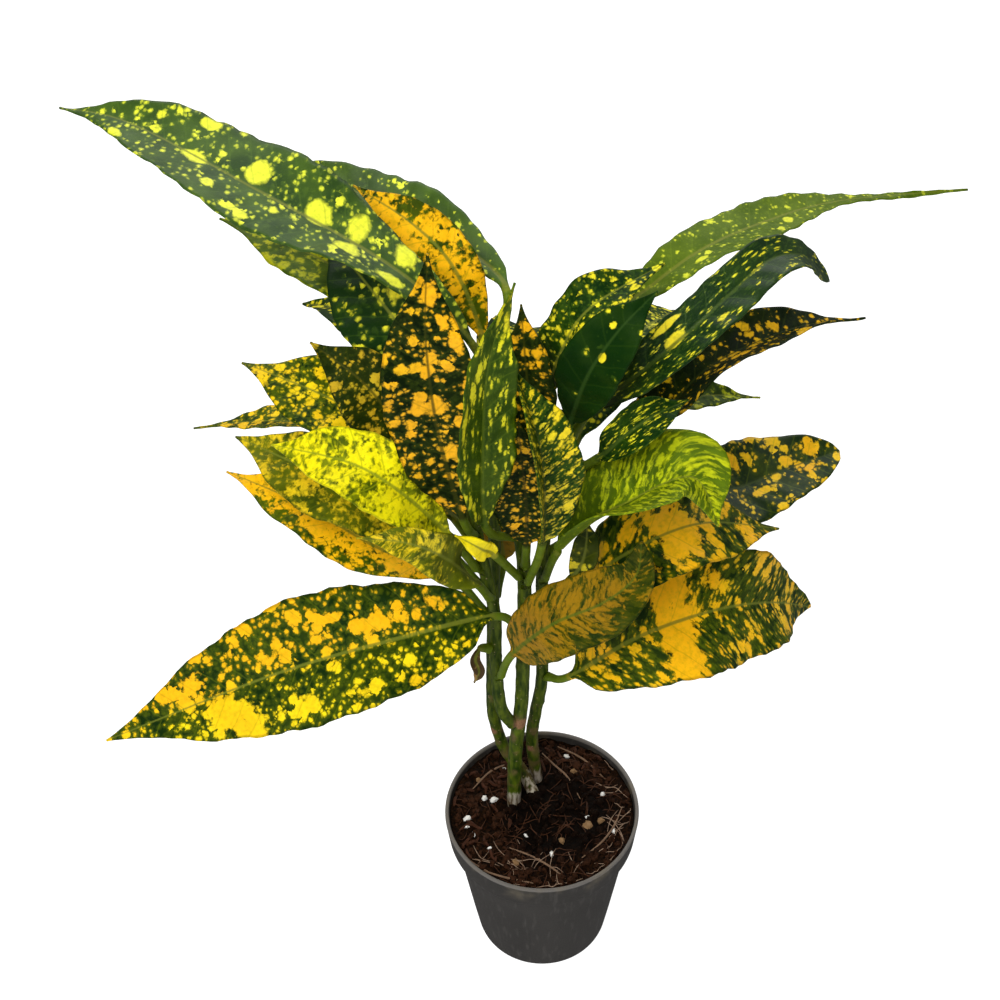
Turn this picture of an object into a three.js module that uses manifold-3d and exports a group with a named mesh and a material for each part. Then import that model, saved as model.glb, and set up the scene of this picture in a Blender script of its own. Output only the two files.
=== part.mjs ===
// A young croton in a small nursery pot: pot, soil, three rooted stems, a branch and their leaves.
// Millimetres, +Z up. The origin is the centre of the pot's underside, and the plant's
// front, where its lowest large leaves hang, looks along -Y.
import * as THREE from 'three';
import { mergeVertices } from 'three/addons/utils/BufferGeometryUtils.js';
import Module from 'manifold-3d';

const wasm = await Module();
wasm.setup();

// Driving dimensions
const GAP = 0.3;
const POT_HEIGHT = 57;
const RIM_RADIUS = 30;
const BASE_RADIUS = 21;
const COLLAR_FOOT = 47;
const COLLAR_STEP = 1.8;
const COLLAR_TAPER = 0.9;
const COLLAR_WALL = 1.7;
const LEDGE = 1.5;
const WALL = 1.1;
const ROUNDING = { foot: 1, rim: 0.4 };
const POT_SIDES = 48;
const DRAIN = { radius: 1.8, ring: 13, count: 4, sides: 10 };

const SOIL_TOP = 55;
const SOIL_SIDES = 32;
const SOIL_RINGS = 5;
const LUMPS = { height: 0.8, long: [0.31, 0.27], short: [0.63, 0.52], share: 0.6, shift: 1.7 };
const SOIL_EDGE_DROP = 0.6;
const SOIL_FLARE = 0.4;
const CRUMB = { radius: 1, spread: 0.7, rise: 0.3, seed: 41 };
const FIBRE = { radius: 0.5, sides: 6, steps: 4, rise: 1.1, sink: 0.4 };

const LEAF_THICKNESS = 0.7;
const LEAF_LANES = 4;
const LEAF_STATIONS = 10;
const PETIOLE_RADIUS = 1.15;
const PETIOLE_STATIONS = 3;
const MIDRIB_DEPTH = 0.5;
const TIP_HALF_WIDTH = 0.5;
const CURVE_STEPS = 50;
const STEM_SIDES = 8;
const STEM_STEPS = 12;
const HOLE_GAP = 0.33;

const RAD = Math.PI / 180;
const UP = new THREE.Vector3(0, 0, 1);
const FRONT = new THREE.Vector3(0, -1, 0);
const V = (p) => new THREE.Vector3(p[0], p[1], p[2]);

// Stems, from the buried foot to the top, as centre points with a foot and a top radius.
// The branch has no foot in the soil: it leaves the front stem at the height given as z.
const STEMS = {
  stem_front: {
    path: [[-9, 4, 44], [-8, 4, 80], [-6, 4, 105], [-5, 4, 140], [-5, 3, 165], [-7, 0, 190]],
    radii: [2.2, 1.8],
  },
  stem_back: {
    path: [[-1, 4, 44], [-2, 6, 53], [-6, 11, 61], [-11, 14, 67], [-14, 14, 80], [-15, 13, 95],
      [-14, 14, 130], [-13, 15, 170], [-14, 18, 222]],
    radii: [1.9, 1.7],
  },
  stem_right: {
    path: [[-1, 14, 44], [-3, 12, 75], [-2, 11, 90], [0, 10, 110], [0, 10, 150], [1, 9, 175],
      [4, 8, 214]],
    radii: [1.9, 1.7],
  },
  stem_branch: {
    from: 'stem_front', z: 95,
    path: [[-12, 1, 106], [-13, 1, 126], [-13, 1, 146], [-16, 0, 170], [-20, -1, 204]],
    radii: [1.8, 1.7],
  },
};

// Leaves. Each one leaves its stem at height z, and its path runs from the blade's base to the tip.
// face is the way its upper side looks and fold lifts its left and right half, in degrees; faceTip
// and foldTip are the same at the tip. cup bends the halves further, wave is the margin's
// [height, count, phase], and peak, tip and blunt shape the outline.
const LEAVES = {
  leaf_crown_left_long: {
    stem: 'stem_back', z: 213, width: 27.5, face: [0, -0.1, 1], fold: 10, wave: [1.8, 2.6, 0.1],
    peak: 0.54, blunt: 0.95,
    path: [[-16, 12, 231], [-34, 17, 251], [-70, 30, 267], [-100, 46, 274], [-119, 56, 272]],
  },
  leaf_crown_left_back: {
    stem: 'stem_back', z: 218, width: 19, face: [0, -0.1, 1], fold: 14, wave: [1, 2.2, 0.4],
    path: [[-9, 33, 233], [-23, 46, 239], [-45, 62, 241], [-74, 77, 242]],
  },
  leaf_crown_orange: {
    stem: 'stem_back', z: 209, width: 14, face: [0.1, -0.8, 0.5], fold: 6, wave: [1.2, 3, 0.2],
    path: [[-15, 25, 224], [-22, 32, 241], [-32, 38, 250], [-47, 46, 256]],
  },
  leaf_crown_left_under: {
    stem: 'stem_back', z: 200, width: 24, face: [0, -0.2, 1], fold: 12, wave: [1.2, 2.4, 0.6],
    path: [[-22, 23, 214], [-38, 36, 226], [-60, 47, 234], [-84, 57, 238]],
  },
  leaf_left_dark: {
    stem: 'stem_branch', z: 197, width: 26, face: [-0.2, -0.6, 0.8], fold: 8, wave: [1, 2, 0],
    path: [[-22, 10, 213], [-32, 19, 227], [-44, 32, 236], [-55, 48, 239]],
  },
  leaf_back_left_thin: {
    stem: 'stem_back', z: 186, width: 20, face: [0, 0, 1], fold: 14, wave: [1, 2, 0.3],
    path: [[-23, 26, 198], [-38, 40, 209], [-52, 52, 211], [-66, 63, 205]],
  },
  leaf_centre_dark: {
    stem: 'stem_branch', z: 180, width: 24, face: [0, -1, 0.1], fold: 6, wave: [1.2, 3, 0.2],
    path: [[-20, -9, 194], [-25, -8, 222], [-27, -4, 248], [-26, 2, 268]],
  },
  leaf_centre_narrow: {
    stem: 'stem_front', z: 178, width: 17, face: [0.55, -0.83, 0.1], fold: 14, wave: [0.8, 2.4, 0.5],
    path: [[-14, -15, 197], [-14, -18, 228], [-12, -16, 252], [-6, -10, 269]],
  },
  leaf_centre_spotted: {
    stem: 'stem_front', z: 184, width: 14, face: [0, -1, 0.3], fold: 10, wave: [0.8, 2, 0],
    path: [[-2, 0, 204], [-3, 2, 220], [-4, 5, 234], [-5, 10, 247]],
  },
  leaf_centre_folded: {
    stem: 'stem_front', z: 157, width: 20, face: [0.15, -1, 0.1], fold: [75, 4], wave: [0.8, 2, 0.2],
    path: [[0, -15, 191], [0, -16, 218], [-3, -13, 234], [-7, -8, 243]],
  },
  leaf_centre_deep: {
    stem: 'stem_front', z: 165, width: 18, face: [0, -1, 0.3], fold: 8, wave: [0.8, 2, 0.4],
    path: [[-4, -6, 181], [-4, -7, 197], [-5, -6, 211], [-6, -4, 223]],
  },
  leaf_right_arched: {
    stem: 'stem_right', z: 198, width: 16, face: [-0.4, -0.4, 0.8], fold: 16, wave: [1, 2.4, 0.3],
    path: [[2, 13, 216], [5, 12, 231], [12, 15, 242], [30, 26, 247]],
  },
  leaf_right_plain: {
    stem: 'stem_right', z: 194, width: 16, face: [-0.2, -0.7, 0.6], fold: 8, wave: [0.6, 2, 0],
    path: [[7, 0, 218], [11, -3, 236], [18, -1, 248], [27, 5, 255]],
  },
  leaf_right_streaked: {
    stem: 'stem_right', z: 196, width: 13, face: [0, -0.5, 0.9], fold: 10, wave: [0.9, 2.6, 0.2],
    peak: 0.45, tip: 0.1, blunt: 0.6,
    path: [[12, 9, 214], [24, 6, 229], [36, 8, 241], [46, 14, 248], [55, 22, 251], [64, 29, 247],
      [73, 37, 233]],
  },
  leaf_crown_right_long: {
    stem: 'stem_right', z: 206, width: 18, face: [0, 0.1, 1], fold: 8, wave: [0.8, 2.6, 0.5],
    peak: 0.34, tip: 0, blunt: 2,
    path: [[16, 28, 226], [27, 34, 233], [41, 43, 238.5], [59, 56, 238], [79, 68, 235.5],
      [116, 80, 231]],
  },
  leaf_right_dark: {
    stem: 'stem_right', z: 174, width: 23, face: [0, -0.3, 1], fold: [0, 46], wave: [1.2, 2.6, 0.1],
    peak: 0.4, tip: 0.6, blunt: 1.1,
    path: [[19, 14, 195], [33, 18, 208], [45, 24, 217], [66, 34, 220], [85, 42, 217]],
  },
  leaf_right_curled: {
    stem: 'stem_right', z: 191, width: 11, face: [0, -0.6, 0.8], fold: 12, wave: [0.8, 2.4, 0.3],
    path: [[14, -2, 208], [20, -3, 216], [27, -1, 221], [36, 4, 222]],
  },
  leaf_right_under: {
    stem: 'stem_right', z: 171, width: 12, face: [0, 0, 1], fold: 12, wave: [1, 2, 0.4],
    path: [[13, 20, 179], [27, 33, 189], [42, 41, 190], [61, 50, 182]],
  },
  leaf_right_lime: {
    stem: 'stem_right', z: 152, width: 29, face: [0, -0.6, 0.8], fold: [0, 110], foldTip: [-6, 35],
    wave: [1.4, 2, 0.2], peak: 0.58,
    path: [[4, -4, 176], [12, -7, 190], [20, -7, 196], [37, -6, 205], [44, -14, 196]],
  },
  leaf_right_blunt: {
    stem: 'stem_right', z: 160, width: 28, face: [0, -0.3, 1], fold: 8, wave: [1.4, 3, 0.1],
    peak: 0.5, tip: 0.1, blunt: 0.5,
    path: [[28, 32, 167], [42, 39, 155], [56, 47, 149], [73, 54, 151], [88, 60, 152]],
  },
  leaf_low_right_orange: {
    stem: 'stem_branch', z: 121, width: 20, face: [-0.1, -0.6, 0.8], fold: 6, wave: [1, 2.2, 0.5],
    peak: 0.46, tip: 0.3, blunt: 0.6,
    path: [[-8, -9, 141], [3, -13, 158], [16, -11, 164], [24.5, -7, 170], [26, -3, 179]],
  },
  leaf_low_right_big: {
    stem: 'stem_right', z: 110, width: 35, face: [0, -0.5, 0.9], faceTip: [0.8, -0.5, 0.4], fold: 4,
    wave: [2.2, 2.6, 0.3], peak: 0.42, tip: 0.3,
    path: [[8, 3, 117], [27, 4, 133], [49, 14, 133], [67, 26, 123], [83, 44, 101]],
  },
  leaf_right_gold: {
    stem: 'stem_right', z: 130, width: 28, face: [-0.2, -0.4, 0.9], fold: [-16, 6],
    wave: [1.4, 2.4, 0.2], peak: 0.4,
    path: [[9, 10, 143], [20, 10, 158], [42, 15, 167], [67, 28, 152]],
  },
  leaf_low_left_big: {
    stem: 'stem_front', z: 138, width: 36, face: [0, -0.45, 0.9], fold: 6, wave: [1.4, 2.4, 0.1],
    peak: 0.42,
    path: [[-13, -5, 152], [-38, -11, 150], [-72, -18, 143], [-117, -30, 130]],
  },
  leaf_left_gold: {
    stem: 'stem_branch', z: 146, width: 20, face: [0, -0.3, 1], fold: 8, wave: [1.2, 2.6, 0.3],
    path: [[-25, 1, 162], [-43, 2, 171], [-64, 10, 180], [-84, 18, 184]],
  },
  leaf_left_olive: {
    stem: 'stem_branch', z: 158, width: 24, face: [0, -0.5, 1], fold: 8, wave: [1.2, 2.4, 0],
    path: [[-26, 0, 174], [-44, 5, 187], [-60, 11, 191], [-81, 22, 193]],
  },
  leaf_left_lemon: {
    stem: 'stem_branch', z: 166, width: 19, face: [0, -0.5, 0.9], fold: 8, wave: [1.2, 2.6, 0.2],
    peak: 0.52, tip: 0.3, blunt: 0.9,
    path: [[-23.5, -8, 186], [-35, -12, 206], [-47, -10, 214], [-67, -2, 212.5]],
  },
  leaf_left_drip: {
    stem: 'stem_back', z: 168, width: 16, face: [0, 0.3, 1], fold: 10, wave: [0.8, 2.4, 0.6],
    path: [[-28, 20, 182], [-52, 32, 186], [-76, 40, 182], [-98, 46, 174]],
  },
  leaf_left_spotted: {
    stem: 'stem_branch', z: 183, width: 26, face: [0, -0.3, 1], fold: [8, -8], wave: [1.2, 2.6, 0.4],
    path: [[-24, 9, 196], [-38, 12, 204], [-56, 17, 212], [-77, 25, 216]],
  },
  leaf_left_brown: {
    stem: 'stem_branch', z: 190, width: 20, face: [0, -0.7, 0.7], fold: 10, wave: [1.2, 2.8, 0.2],
    path: [[-27, 3, 200], [-35, 4, 212], [-44, 8, 224], [-57, 14, 232]],
  },
  leaf_left_torn: {
    stem: 'stem_branch', z: 155, width: 13, face: [0, -0.1, 1], faceTip: [0, -1, 0.3], fold: 10,
    wave: [1, 3.4, 0.1], peak: 0.4,
    path: [[-17, -13, 174], [-25, -24, 196], [-34, -27, 204], [-45, -24, 202]],
  },
  leaf_left_scrap: {
    stem: 'stem_front', z: 160, width: 5.5, face: [0, -0.8, 0.6], fold: 14, wave: [0.3, 2, 0],
    path: [[-12, -18, 190], [-14.5, -23, 197], [-17.5, -24.5, 201], [-21, -25, 204]],
  },
  leaf_inner_orange: {
    stem: 'stem_back', z: 138, width: 15, face: [0, -1, 0.3], fold: 8, wave: [1, 2, 0],
    path: [[-11, 20, 147], [-12, 21, 158], [-16, 24, 170], [-21, 30, 184]],
  },
  leaf_small_bud: {
    stem: 'stem_right', z: 142, width: 8, face: [0, -1, 0.2], fold: 10, wave: [0.2, 1, 0],
    path: [[8, 8, 153], [11, 8, 160], [12, 9, 167], [12, 10, 174]],
  },
  leaf_withered: {
    stem: 'stem_branch', z: 133, width: 3.6, face: [0, -1, 0.2], fold: 20, wave: [0.3, 2, 0],
    path: [[-17, -2, 135], [-18.5, -4, 133], [-17.5, -5, 129], [-19, -5, 124]],
  },
  leaf_back_centre: {
    stem: 'stem_back', z: 174, width: 24, face: [0, 0.1, 1], fold: 8, wave: [1.2, 2.4, 0.2],
    path: [[-11, 29, 188], [-8, 50, 196], [-4, 75, 186], [-2, 98, 165]],
  },
  leaf_back_right: {
    stem: 'stem_right', z: 180, width: 24, face: [0, 0, 1], fold: 8, wave: [1.2, 2.4, 0.5],
    path: [[9, 21, 192], [21, 43, 203], [34, 66, 198], [45, 88, 180]],
  },
  leaf_back_left_low: {
    stem: 'stem_back', z: 148, width: 26, face: [0, 0, 1], fold: 6, wave: [1.2, 2.4, 0.3],
    path: [[-24, 25, 158], [-40, 44, 164], [-56, 60, 157], [-70, 73, 144]],
  },
  leaf_back_right_low: {
    stem: 'stem_right', z: 136, width: 25, face: [0, 0, 1], fold: 6, wave: [1.2, 2.4, 0.1],
    path: [[0, 25, 147], [3, 45, 151], [10, 65, 142], [18, 83, 124]],
  },
  leaf_back_low: {
    stem: 'stem_back', z: 130, width: 25, face: [0, 0.1, 1], fold: 6, wave: [1.2, 2.4, 0.4],
    path: [[-14, 27, 139], [-15, 50, 139], [-17, 72, 127], [-19, 90, 108]],
  },
};

// Looks, and the leaves that have a look other than the dark green of most.
const LOOKS = {
  pot: new THREE.MeshStandardMaterial({ color: 0x3a3836, roughness: 0.62, metalness: 0 }),
  soil: new THREE.MeshStandardMaterial({ color: 0x1c100b, roughness: 0.95, metalness: 0 }),
  stem: new THREE.MeshStandardMaterial({ color: 0x33500d, roughness: 0.5, metalness: 0 }),
  leaf_dark: new THREE.MeshStandardMaterial({ color: 0x2f4a12, roughness: 0.38, metalness: 0 }),
  leaf_gold: new THREE.MeshStandardMaterial({ color: 0xc08a12, roughness: 0.42, metalness: 0 }),
  leaf_lime: new THREE.MeshStandardMaterial({ color: 0x8f9e14, roughness: 0.4, metalness: 0 }),
};
const GOLD_LEAVES = ['leaf_crown_orange', 'leaf_low_right_orange', 'leaf_low_right_big',
  'leaf_right_gold', 'leaf_left_gold', 'leaf_inner_orange', 'leaf_left_scrap', 'leaf_withered'];
const LIME_LEAVES = ['leaf_right_lime', 'leaf_left_lemon', 'leaf_left_olive', 'leaf_left_spotted',
  'leaf_crown_left_under', 'leaf_small_bud', 'leaf_left_torn', 'leaf_left_drip'];

// A closed body from rings of points, each ring running once around the section. The first half
// of a ring is its upper side, and both sides are split along the same diagonals.
function bodyFromRings(rings) {
  const count = rings[0].length;
  const half = count / 2;
  const positions = rings.flatMap((ring) => ring.flatMap((p) => [p.x, p.y, p.z]));
  const index = [];
  for (let r = 0; r + 1 < rings.length; r += 1) {
    for (let k = 0; k < count; k += 1) {
      const next = (k + 1) % count;
      const [a, b] = [r * count + k, r * count + next];
      const [c, d] = [a + count, b + count];
      if (k < half) {
        index.push(a, b, d, a, d, c);
      } else {
        index.push(a, b, c, b, d, c);
      }
    }
  }
  const last = (rings.length - 1) * count;
  for (let k = 0; k + 1 < half; k += 1) {
    const [a, b, c, d] = [k, k + 1, count - 2 - k, count - 1 - k];
    index.push(a, c, b, a, d, c);
    index.push(last + a, last + b, last + c, last + a, last + c, last + d);
  }
  const geometry = new THREE.BufferGeometry();
  geometry.setAttribute('position', new THREE.Float32BufferAttribute(positions, 3));
  geometry.setIndex(index);
  return geometry;
}

function toSolid(geometry) {
  const bare = geometry.clone();
  bare.deleteAttribute('normal');
  bare.deleteAttribute('uv');
  const merged = mergeVertices(bare, 1e-4);
  return new wasm.Manifold(new wasm.Mesh({
    numProp: 3,
    vertProperties: new Float32Array(merged.attributes.position.array),
    triVerts: new Uint32Array(merged.index.array),
  }));
}

function toGeometry(solid) {
  const mesh = solid.getMesh();
  const geometry = new THREE.BufferGeometry();
  geometry.setAttribute('position', new THREE.Float32BufferAttribute(mesh.vertProperties, 3));
  geometry.setIndex([...mesh.triVerts]);
  return geometry;
}

// A repeatable stream of numbers from 0 to 1.
function seeded(seed) {
  let state = seed;
  return () => {
    state = (state * 1664525 + 1013904223) % 4294967296;
    return state / 4294967296;
  };
}

function curveThrough(points) {
  return new THREE.CatmullRomCurve3(points, false, 'catmullrom', 0.5);
}

// Ring of a round section: centre, the section's left and upper directions, and its radius.
function roundRing(centre, side, up, radius, sides) {
  const ring = [];
  for (let k = 0; k < sides; k += 1) {
    const angle = Math.PI - (k + 0.5) * (2 * Math.PI / sides);
    ring.push(centre.clone()
      .addScaledVector(side, radius * Math.cos(angle))
      .addScaledVector(up, radius * Math.sin(angle)));
  }
  return ring;
}

const stemCurves = {};

// Centre and radius of a stem at height z.
function stemAt(name, z) {
  const { points, radii } = stemCurves[name];
  const k = Math.max(points.findIndex((p) => p.z >= z), 1);
  const [a, b] = [points[k - 1], points[k]];
  const part = (z - a.z) / (b.z - a.z);
  const along = (k - 1 + part) / (points.length - 1);
  return {
    centre: a.clone().lerp(b, part),
    axis: b.clone().sub(a).normalize(),
    radius: THREE.MathUtils.lerp(radii[0], radii[1], along),
  };
}

// Where something that grows toward a point sits on its stem, clear of it by the gap.
function footOn(stemName, z, toward) {
  const { centre, axis, radius } = stemAt(stemName, z);
  const out = toward.clone().sub(centre);
  out.addScaledVector(axis, -out.dot(axis)).normalize();
  return { point: centre.addScaledVector(out, radius + GAP), out, axis };
}

// Rings of a stem, widened by extra all round. A branch starts flat against its parent.
function stemRings(name, extra = 0) {
  const { points, radii, foot } = stemCurves[name];
  return points.map((point, k) => {
    const radius = THREE.MathUtils.lerp(radii[0], radii[1], k / (points.length - 1)) + extra;
    if (k === 0 && foot) {
      const side = foot.out.clone().cross(foot.axis).normalize();
      return roundRing(point, side, foot.axis, radius, STEM_SIDES);
    }
    const ahead = points[Math.min(k + 1, points.length - 1)];
    const behind = points[Math.max(k - 1, 0)];
    const tangent = ahead.clone().sub(behind).normalize();
    const side = tangent.clone().cross(FRONT).normalize();
    return roundRing(point, side, side.clone().cross(tangent), radius, STEM_SIDES);
  });
}

function growStem(name, { path, radii, from, z }) {
  const points = path.map(V);
  const foot = from && footOn(from, z, points[0]);
  if (foot) points.unshift(foot.point);
  stemCurves[name] = { points: curveThrough(points).getPoints(STEM_STEPS), radii, foot };
}

// Share of the full width at t, from 0 at the blade's base to 1 at its tip.
function widthAt(t, peak, tip, blunt) {
  const body = Math.sin(Math.PI * t ** (Math.log(0.5) / Math.log(peak))) ** blunt;
  return body * (1 - tip * THREE.MathUtils.smoothstep(t, 0.72, 1));
}

// Section of the blade: points from the left margin to the right, as [across, height, slope].
function bladeSection(half, fold, cup, wave, t) {
  const [height, count, phase] = wave;
  const points = [];
  for (let lane = 0; lane <= LEAF_LANES; lane += 1) {
    const u = (2 * lane) / LEAF_LANES - 1;
    const lift = fold[u < 0 ? 0 : 1] * RAD;
    const share = Math.abs(u);
    const slope = lift + cup * RAD * share * 0.5;
    const swell = Math.sin(2 * Math.PI * (count * t + phase + (u < 0 ? 0.37 : 0)));
    const ripple = height * swell * share ** 1.5 * Math.sin(Math.PI * t) ** 0.5;
    points.push([
      half * u * Math.cos(slope),
      half * share * Math.sin(slope) + ripple,
      Math.sign(u) * (lift + cup * RAD * share),
    ]);
  }
  return points;
}

function bladeRing(centre, side, up, section, thickness, rib) {
  const place = (across, height) => centre.clone()
    .addScaledVector(side, across).addScaledVector(up, height);
  const offset = thickness / 2;
  const top = section.map(([x, h, slope]) => (
    place(x - offset * Math.sin(slope), h + offset * Math.cos(slope))));
  const bottom = section.map(([x, h, slope]) => {
    const below = offset + (x === 0 ? rib : 0);
    return place(x + below * Math.sin(slope), h - below * Math.cos(slope));
  });
  return [...top, ...bottom.reverse()];
}

function leafBody(leaf) {
  const { peak = 0.48, tip = 0.55, blunt = 0.8, cup = 6, wave } = leaf;
  const pair = (value) => (Array.isArray(value) ? value : [value, value]);
  const fold = pair(leaf.fold);
  const foldTip = pair(leaf.foldTip ?? leaf.fold);
  const path = leaf.path.map(V);
  const foot = footOn(leaf.stem, leaf.z, path[0]);
  const curve = curveThrough([foot.point, ...path]);
  const lengths = curve.getLengths(CURVE_STEPS * path.length);
  const blade = lengths[CURVE_STEPS] / lengths.at(-1);
  const faceBase = V(leaf.face).normalize();
  const faceTip = V(leaf.faceTip ?? leaf.face).normalize();

  const frameAt = (s) => {
    const centre = curve.getPointAt(s);
    const tangent = curve.getTangentAt(s);
    const t = Math.max((s - blade) / (1 - blade), 0);
    const up = faceBase.clone().lerp(faceTip, t);
    up.addScaledVector(tangent, -up.dot(tangent)).normalize();
    return { centre, up, side: tangent.clone().cross(up).normalize(), t };
  };

  const sides = 2 * (LEAF_LANES + 1);
  const rings = [];
  const footSide = foot.out.clone().cross(foot.axis).normalize();
  rings.push(roundRing(foot.point, footSide, foot.axis, PETIOLE_RADIUS, sides));
  for (let k = 1; k < PETIOLE_STATIONS; k += 1) {
    const { centre, side, up } = frameAt((blade * k) / PETIOLE_STATIONS);
    rings.push(roundRing(centre, side, up, PETIOLE_RADIUS, sides));
  }
  for (let k = 0; k <= LEAF_STATIONS; k += 1) {
    const { centre, side, up, t } = frameAt(blade + (1 - blade) * (k / LEAF_STATIONS));
    const narrowest = k === 0 ? PETIOLE_RADIUS : TIP_HALF_WIDTH;
    const half = Math.max(widthAt(t, peak, tip, blunt) * leaf.width * 0.5, narrowest);
    const bend = fold.map((angle, flank) => THREE.MathUtils.lerp(angle, foldTip[flank], t));
    const section = bladeSection(half, bend, cup, wave, t);
    rings.push(bladeRing(centre, side, up, section, LEAF_THICKNESS, MIDRIB_DEPTH * (1 - t)));
  }
  return bodyFromRings(rings);
}

// Outer radius of the pot's wall at height z, below the collar.
function wallAt(z) {
  const top = RIM_RADIUS - COLLAR_TAPER - COLLAR_STEP;
  return THREE.MathUtils.lerp(BASE_RADIUS, top, z / COLLAR_FOOT);
}

function potBody() {
  const { foot, rim } = ROUNDING;
  const profile = [
    [0, 0],
    [BASE_RADIUS - foot, 0],
    [BASE_RADIUS, foot],
    [wallAt(COLLAR_FOOT), COLLAR_FOOT],
    [RIM_RADIUS - COLLAR_TAPER, COLLAR_FOOT + rim],
    [RIM_RADIUS, POT_HEIGHT - rim],
    [RIM_RADIUS - rim, POT_HEIGHT],
    [RIM_RADIUS - WALL, POT_HEIGHT],
    [RIM_RADIUS - COLLAR_WALL, COLLAR_FOOT + LEDGE],
    [wallAt(COLLAR_FOOT - LEDGE) - WALL, COLLAR_FOOT - LEDGE],
    [wallAt(WALL) - WALL, WALL],
    [0, WALL],
  ];
  const outline = profile.map(([r, z]) => new THREE.Vector2(r, z));
  const lathe = new THREE.LatheGeometry(outline, POT_SIDES);
  lathe.rotateX(Math.PI / 2);
  let solid = toSolid(lathe);
  for (let k = 0; k < DRAIN.count; k += 1) {
    const drill = new THREE.CylinderGeometry(DRAIN.radius, DRAIN.radius, 3 * WALL, DRAIN.sides);
    drill.rotateX(Math.PI / 2);
    const angle = ((k + 0.5) * 2 * Math.PI) / DRAIN.count;
    drill.translate(DRAIN.ring * Math.cos(angle), DRAIN.ring * Math.sin(angle), WALL / 2);
    solid = solid.subtract(toSolid(drill));
  }
  return toGeometry(solid);
}

// Height of the soil at x, y: gentle lumps, higher at the front, lower at the rim.
function soilHeight(x, y) {
  const { height, long, short, share, shift } = LUMPS;
  const broad = Math.sin(x * long[0] + shift) * Math.cos(y * long[1]);
  const small = share * Math.sin(x * short[0] - y * short[1]);
  const reach = Math.hypot(x, y) / RIM_RADIUS;
  return SOIL_TOP + height * (broad + small) * (1 - reach ** 2) - SOIL_EDGE_DROP * reach ** 4;
}

function soilBody() {
  const low = WALL + GAP;
  const shoulder = COLLAR_FOOT - LEDGE;
  const collarRadius = RIM_RADIUS - COLLAR_WALL - GAP;
  const topRadius = collarRadius + SOIL_FLARE;
  const positions = [];
  const rings = [];
  const addRing = (radius, height) => {
    const ring = [];
    for (let k = 0; k < SOIL_SIDES; k += 1) {
      const angle = (k * 2 * Math.PI) / SOIL_SIDES;
      const [x, y] = [radius * Math.cos(angle), radius * Math.sin(angle)];
      ring.push(positions.length / 3);
      positions.push(x, y, height ?? soilHeight(x, y));
    }
    rings.push(ring);
  };
  addRing(wallAt(low) - WALL - GAP, low);
  addRing(wallAt(shoulder) - WALL - GAP, shoulder);
  addRing(collarRadius, COLLAR_FOOT + LEDGE + GAP);
  for (let k = 0; k < SOIL_RINGS; k += 1) addRing(topRadius * (1 - k / SOIL_RINGS));
  const bottomCentre = positions.length / 3;
  positions.push(0, 0, low);
  const topCentre = positions.length / 3;
  positions.push(0, 0, soilHeight(0, 0));
  const index = [];
  for (let k = 0; k < SOIL_SIDES; k += 1) {
    const next = (k + 1) % SOIL_SIDES;
    index.push(bottomCentre, rings[0][next], rings[0][k]);
    for (let r = 0; r + 1 < rings.length; r += 1) {
      const [a, b, c, d] = [rings[r][k], rings[r][next], rings[r + 1][k], rings[r + 1][next]];
      index.push(a, b, d, a, d, c);
    }
    index.push(rings.at(-1)[k], rings.at(-1)[next], topCentre);
  }
  const geometry = new THREE.BufferGeometry();
  geometry.setAttribute('position', new THREE.Float32BufferAttribute(positions, 3));
  geometry.setIndex(index);
  let solid = toSolid(geometry);

  // White grit and bark crumbs, half sunk in the surface.
  const random = seeded(CRUMB.seed);
  const crumbs = [
    [-19, -9], [-22, -12], [-18, -14], [-12, 3], [-16, 2], [-5, -15], [14, -8], [15, -12],
    [20, -2], [9, 13], [17, 10], [-20, 8], [6, -20], [-11, -20], [22, -10], [3, 20],
  ];
  crumbs.forEach(([x, y]) => {
    const crumb = new THREE.IcosahedronGeometry(CRUMB.radius + CRUMB.spread * random(), 0);
    crumb.rotateX(2 * Math.PI * random());
    crumb.rotateZ(2 * Math.PI * random());
    crumb.translate(x, y, soilHeight(x, y) + CRUMB.rise);
    solid = solid.add(toSolid(crumb));
  });

  // Coarse fibres lying on the soil, each a short bent strand with both ends sunk in.
  const fibres = [
    [[-22, -12], [-14, -19], [-2, -22]], [[6, 14], [12, 8], [17, 1]],
    [[12, -17], [18, -12], [24, -6]], [[-24, 4], [-17, 10], [-9, 19]],
    [[2, -12], [8, -18], [16, -19]], [[-10, 22], [2, 18], [14, 19]],
  ];
  fibres.forEach((strand) => {
    const points = strand.map(([x, y], k) => (
      new THREE.Vector3(x, y, soilHeight(x, y) + (k === 1 ? FIBRE.rise : -FIBRE.sink))));
    const curve = curveThrough(points);
    const rings = curve.getPoints(FIBRE.steps).map((point, k) => {
      const tangent = curve.getTangent(k / FIBRE.steps);
      const side = tangent.clone().cross(UP).normalize();
      const up = side.clone().cross(tangent);
      return roundRing(point, side, up, FIBRE.radius, FIBRE.sides);
    });
    solid = solid.add(toSolid(bodyFromRings(rings)));
  });

  // Plain holes that the stems stand in.
  Object.keys(STEMS).filter((name) => !STEMS[name].from).forEach((name) => {
    const clear = stemCurves[name].points.findIndex((point) => point.z > POT_HEIGHT);
    const hole = stemRings(name, HOLE_GAP).slice(0, clear + 1);
    hole[0].forEach((point) => point.setZ(point.z - GAP));
    solid = solid.subtract(toSolid(bodyFromRings(hole)));
  });
  return toGeometry(solid);
}

function leafLook(name) {
  if (GOLD_LEAVES.includes(name)) return LOOKS.leaf_gold;
  return LIME_LEAVES.includes(name) ? LOOKS.leaf_lime : LOOKS.leaf_dark;
}

function addMesh(group, name, geometry, look) {
  const mesh = new THREE.Mesh(geometry, look.clone());
  mesh.name = name;
  group.add(mesh);
}

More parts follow.
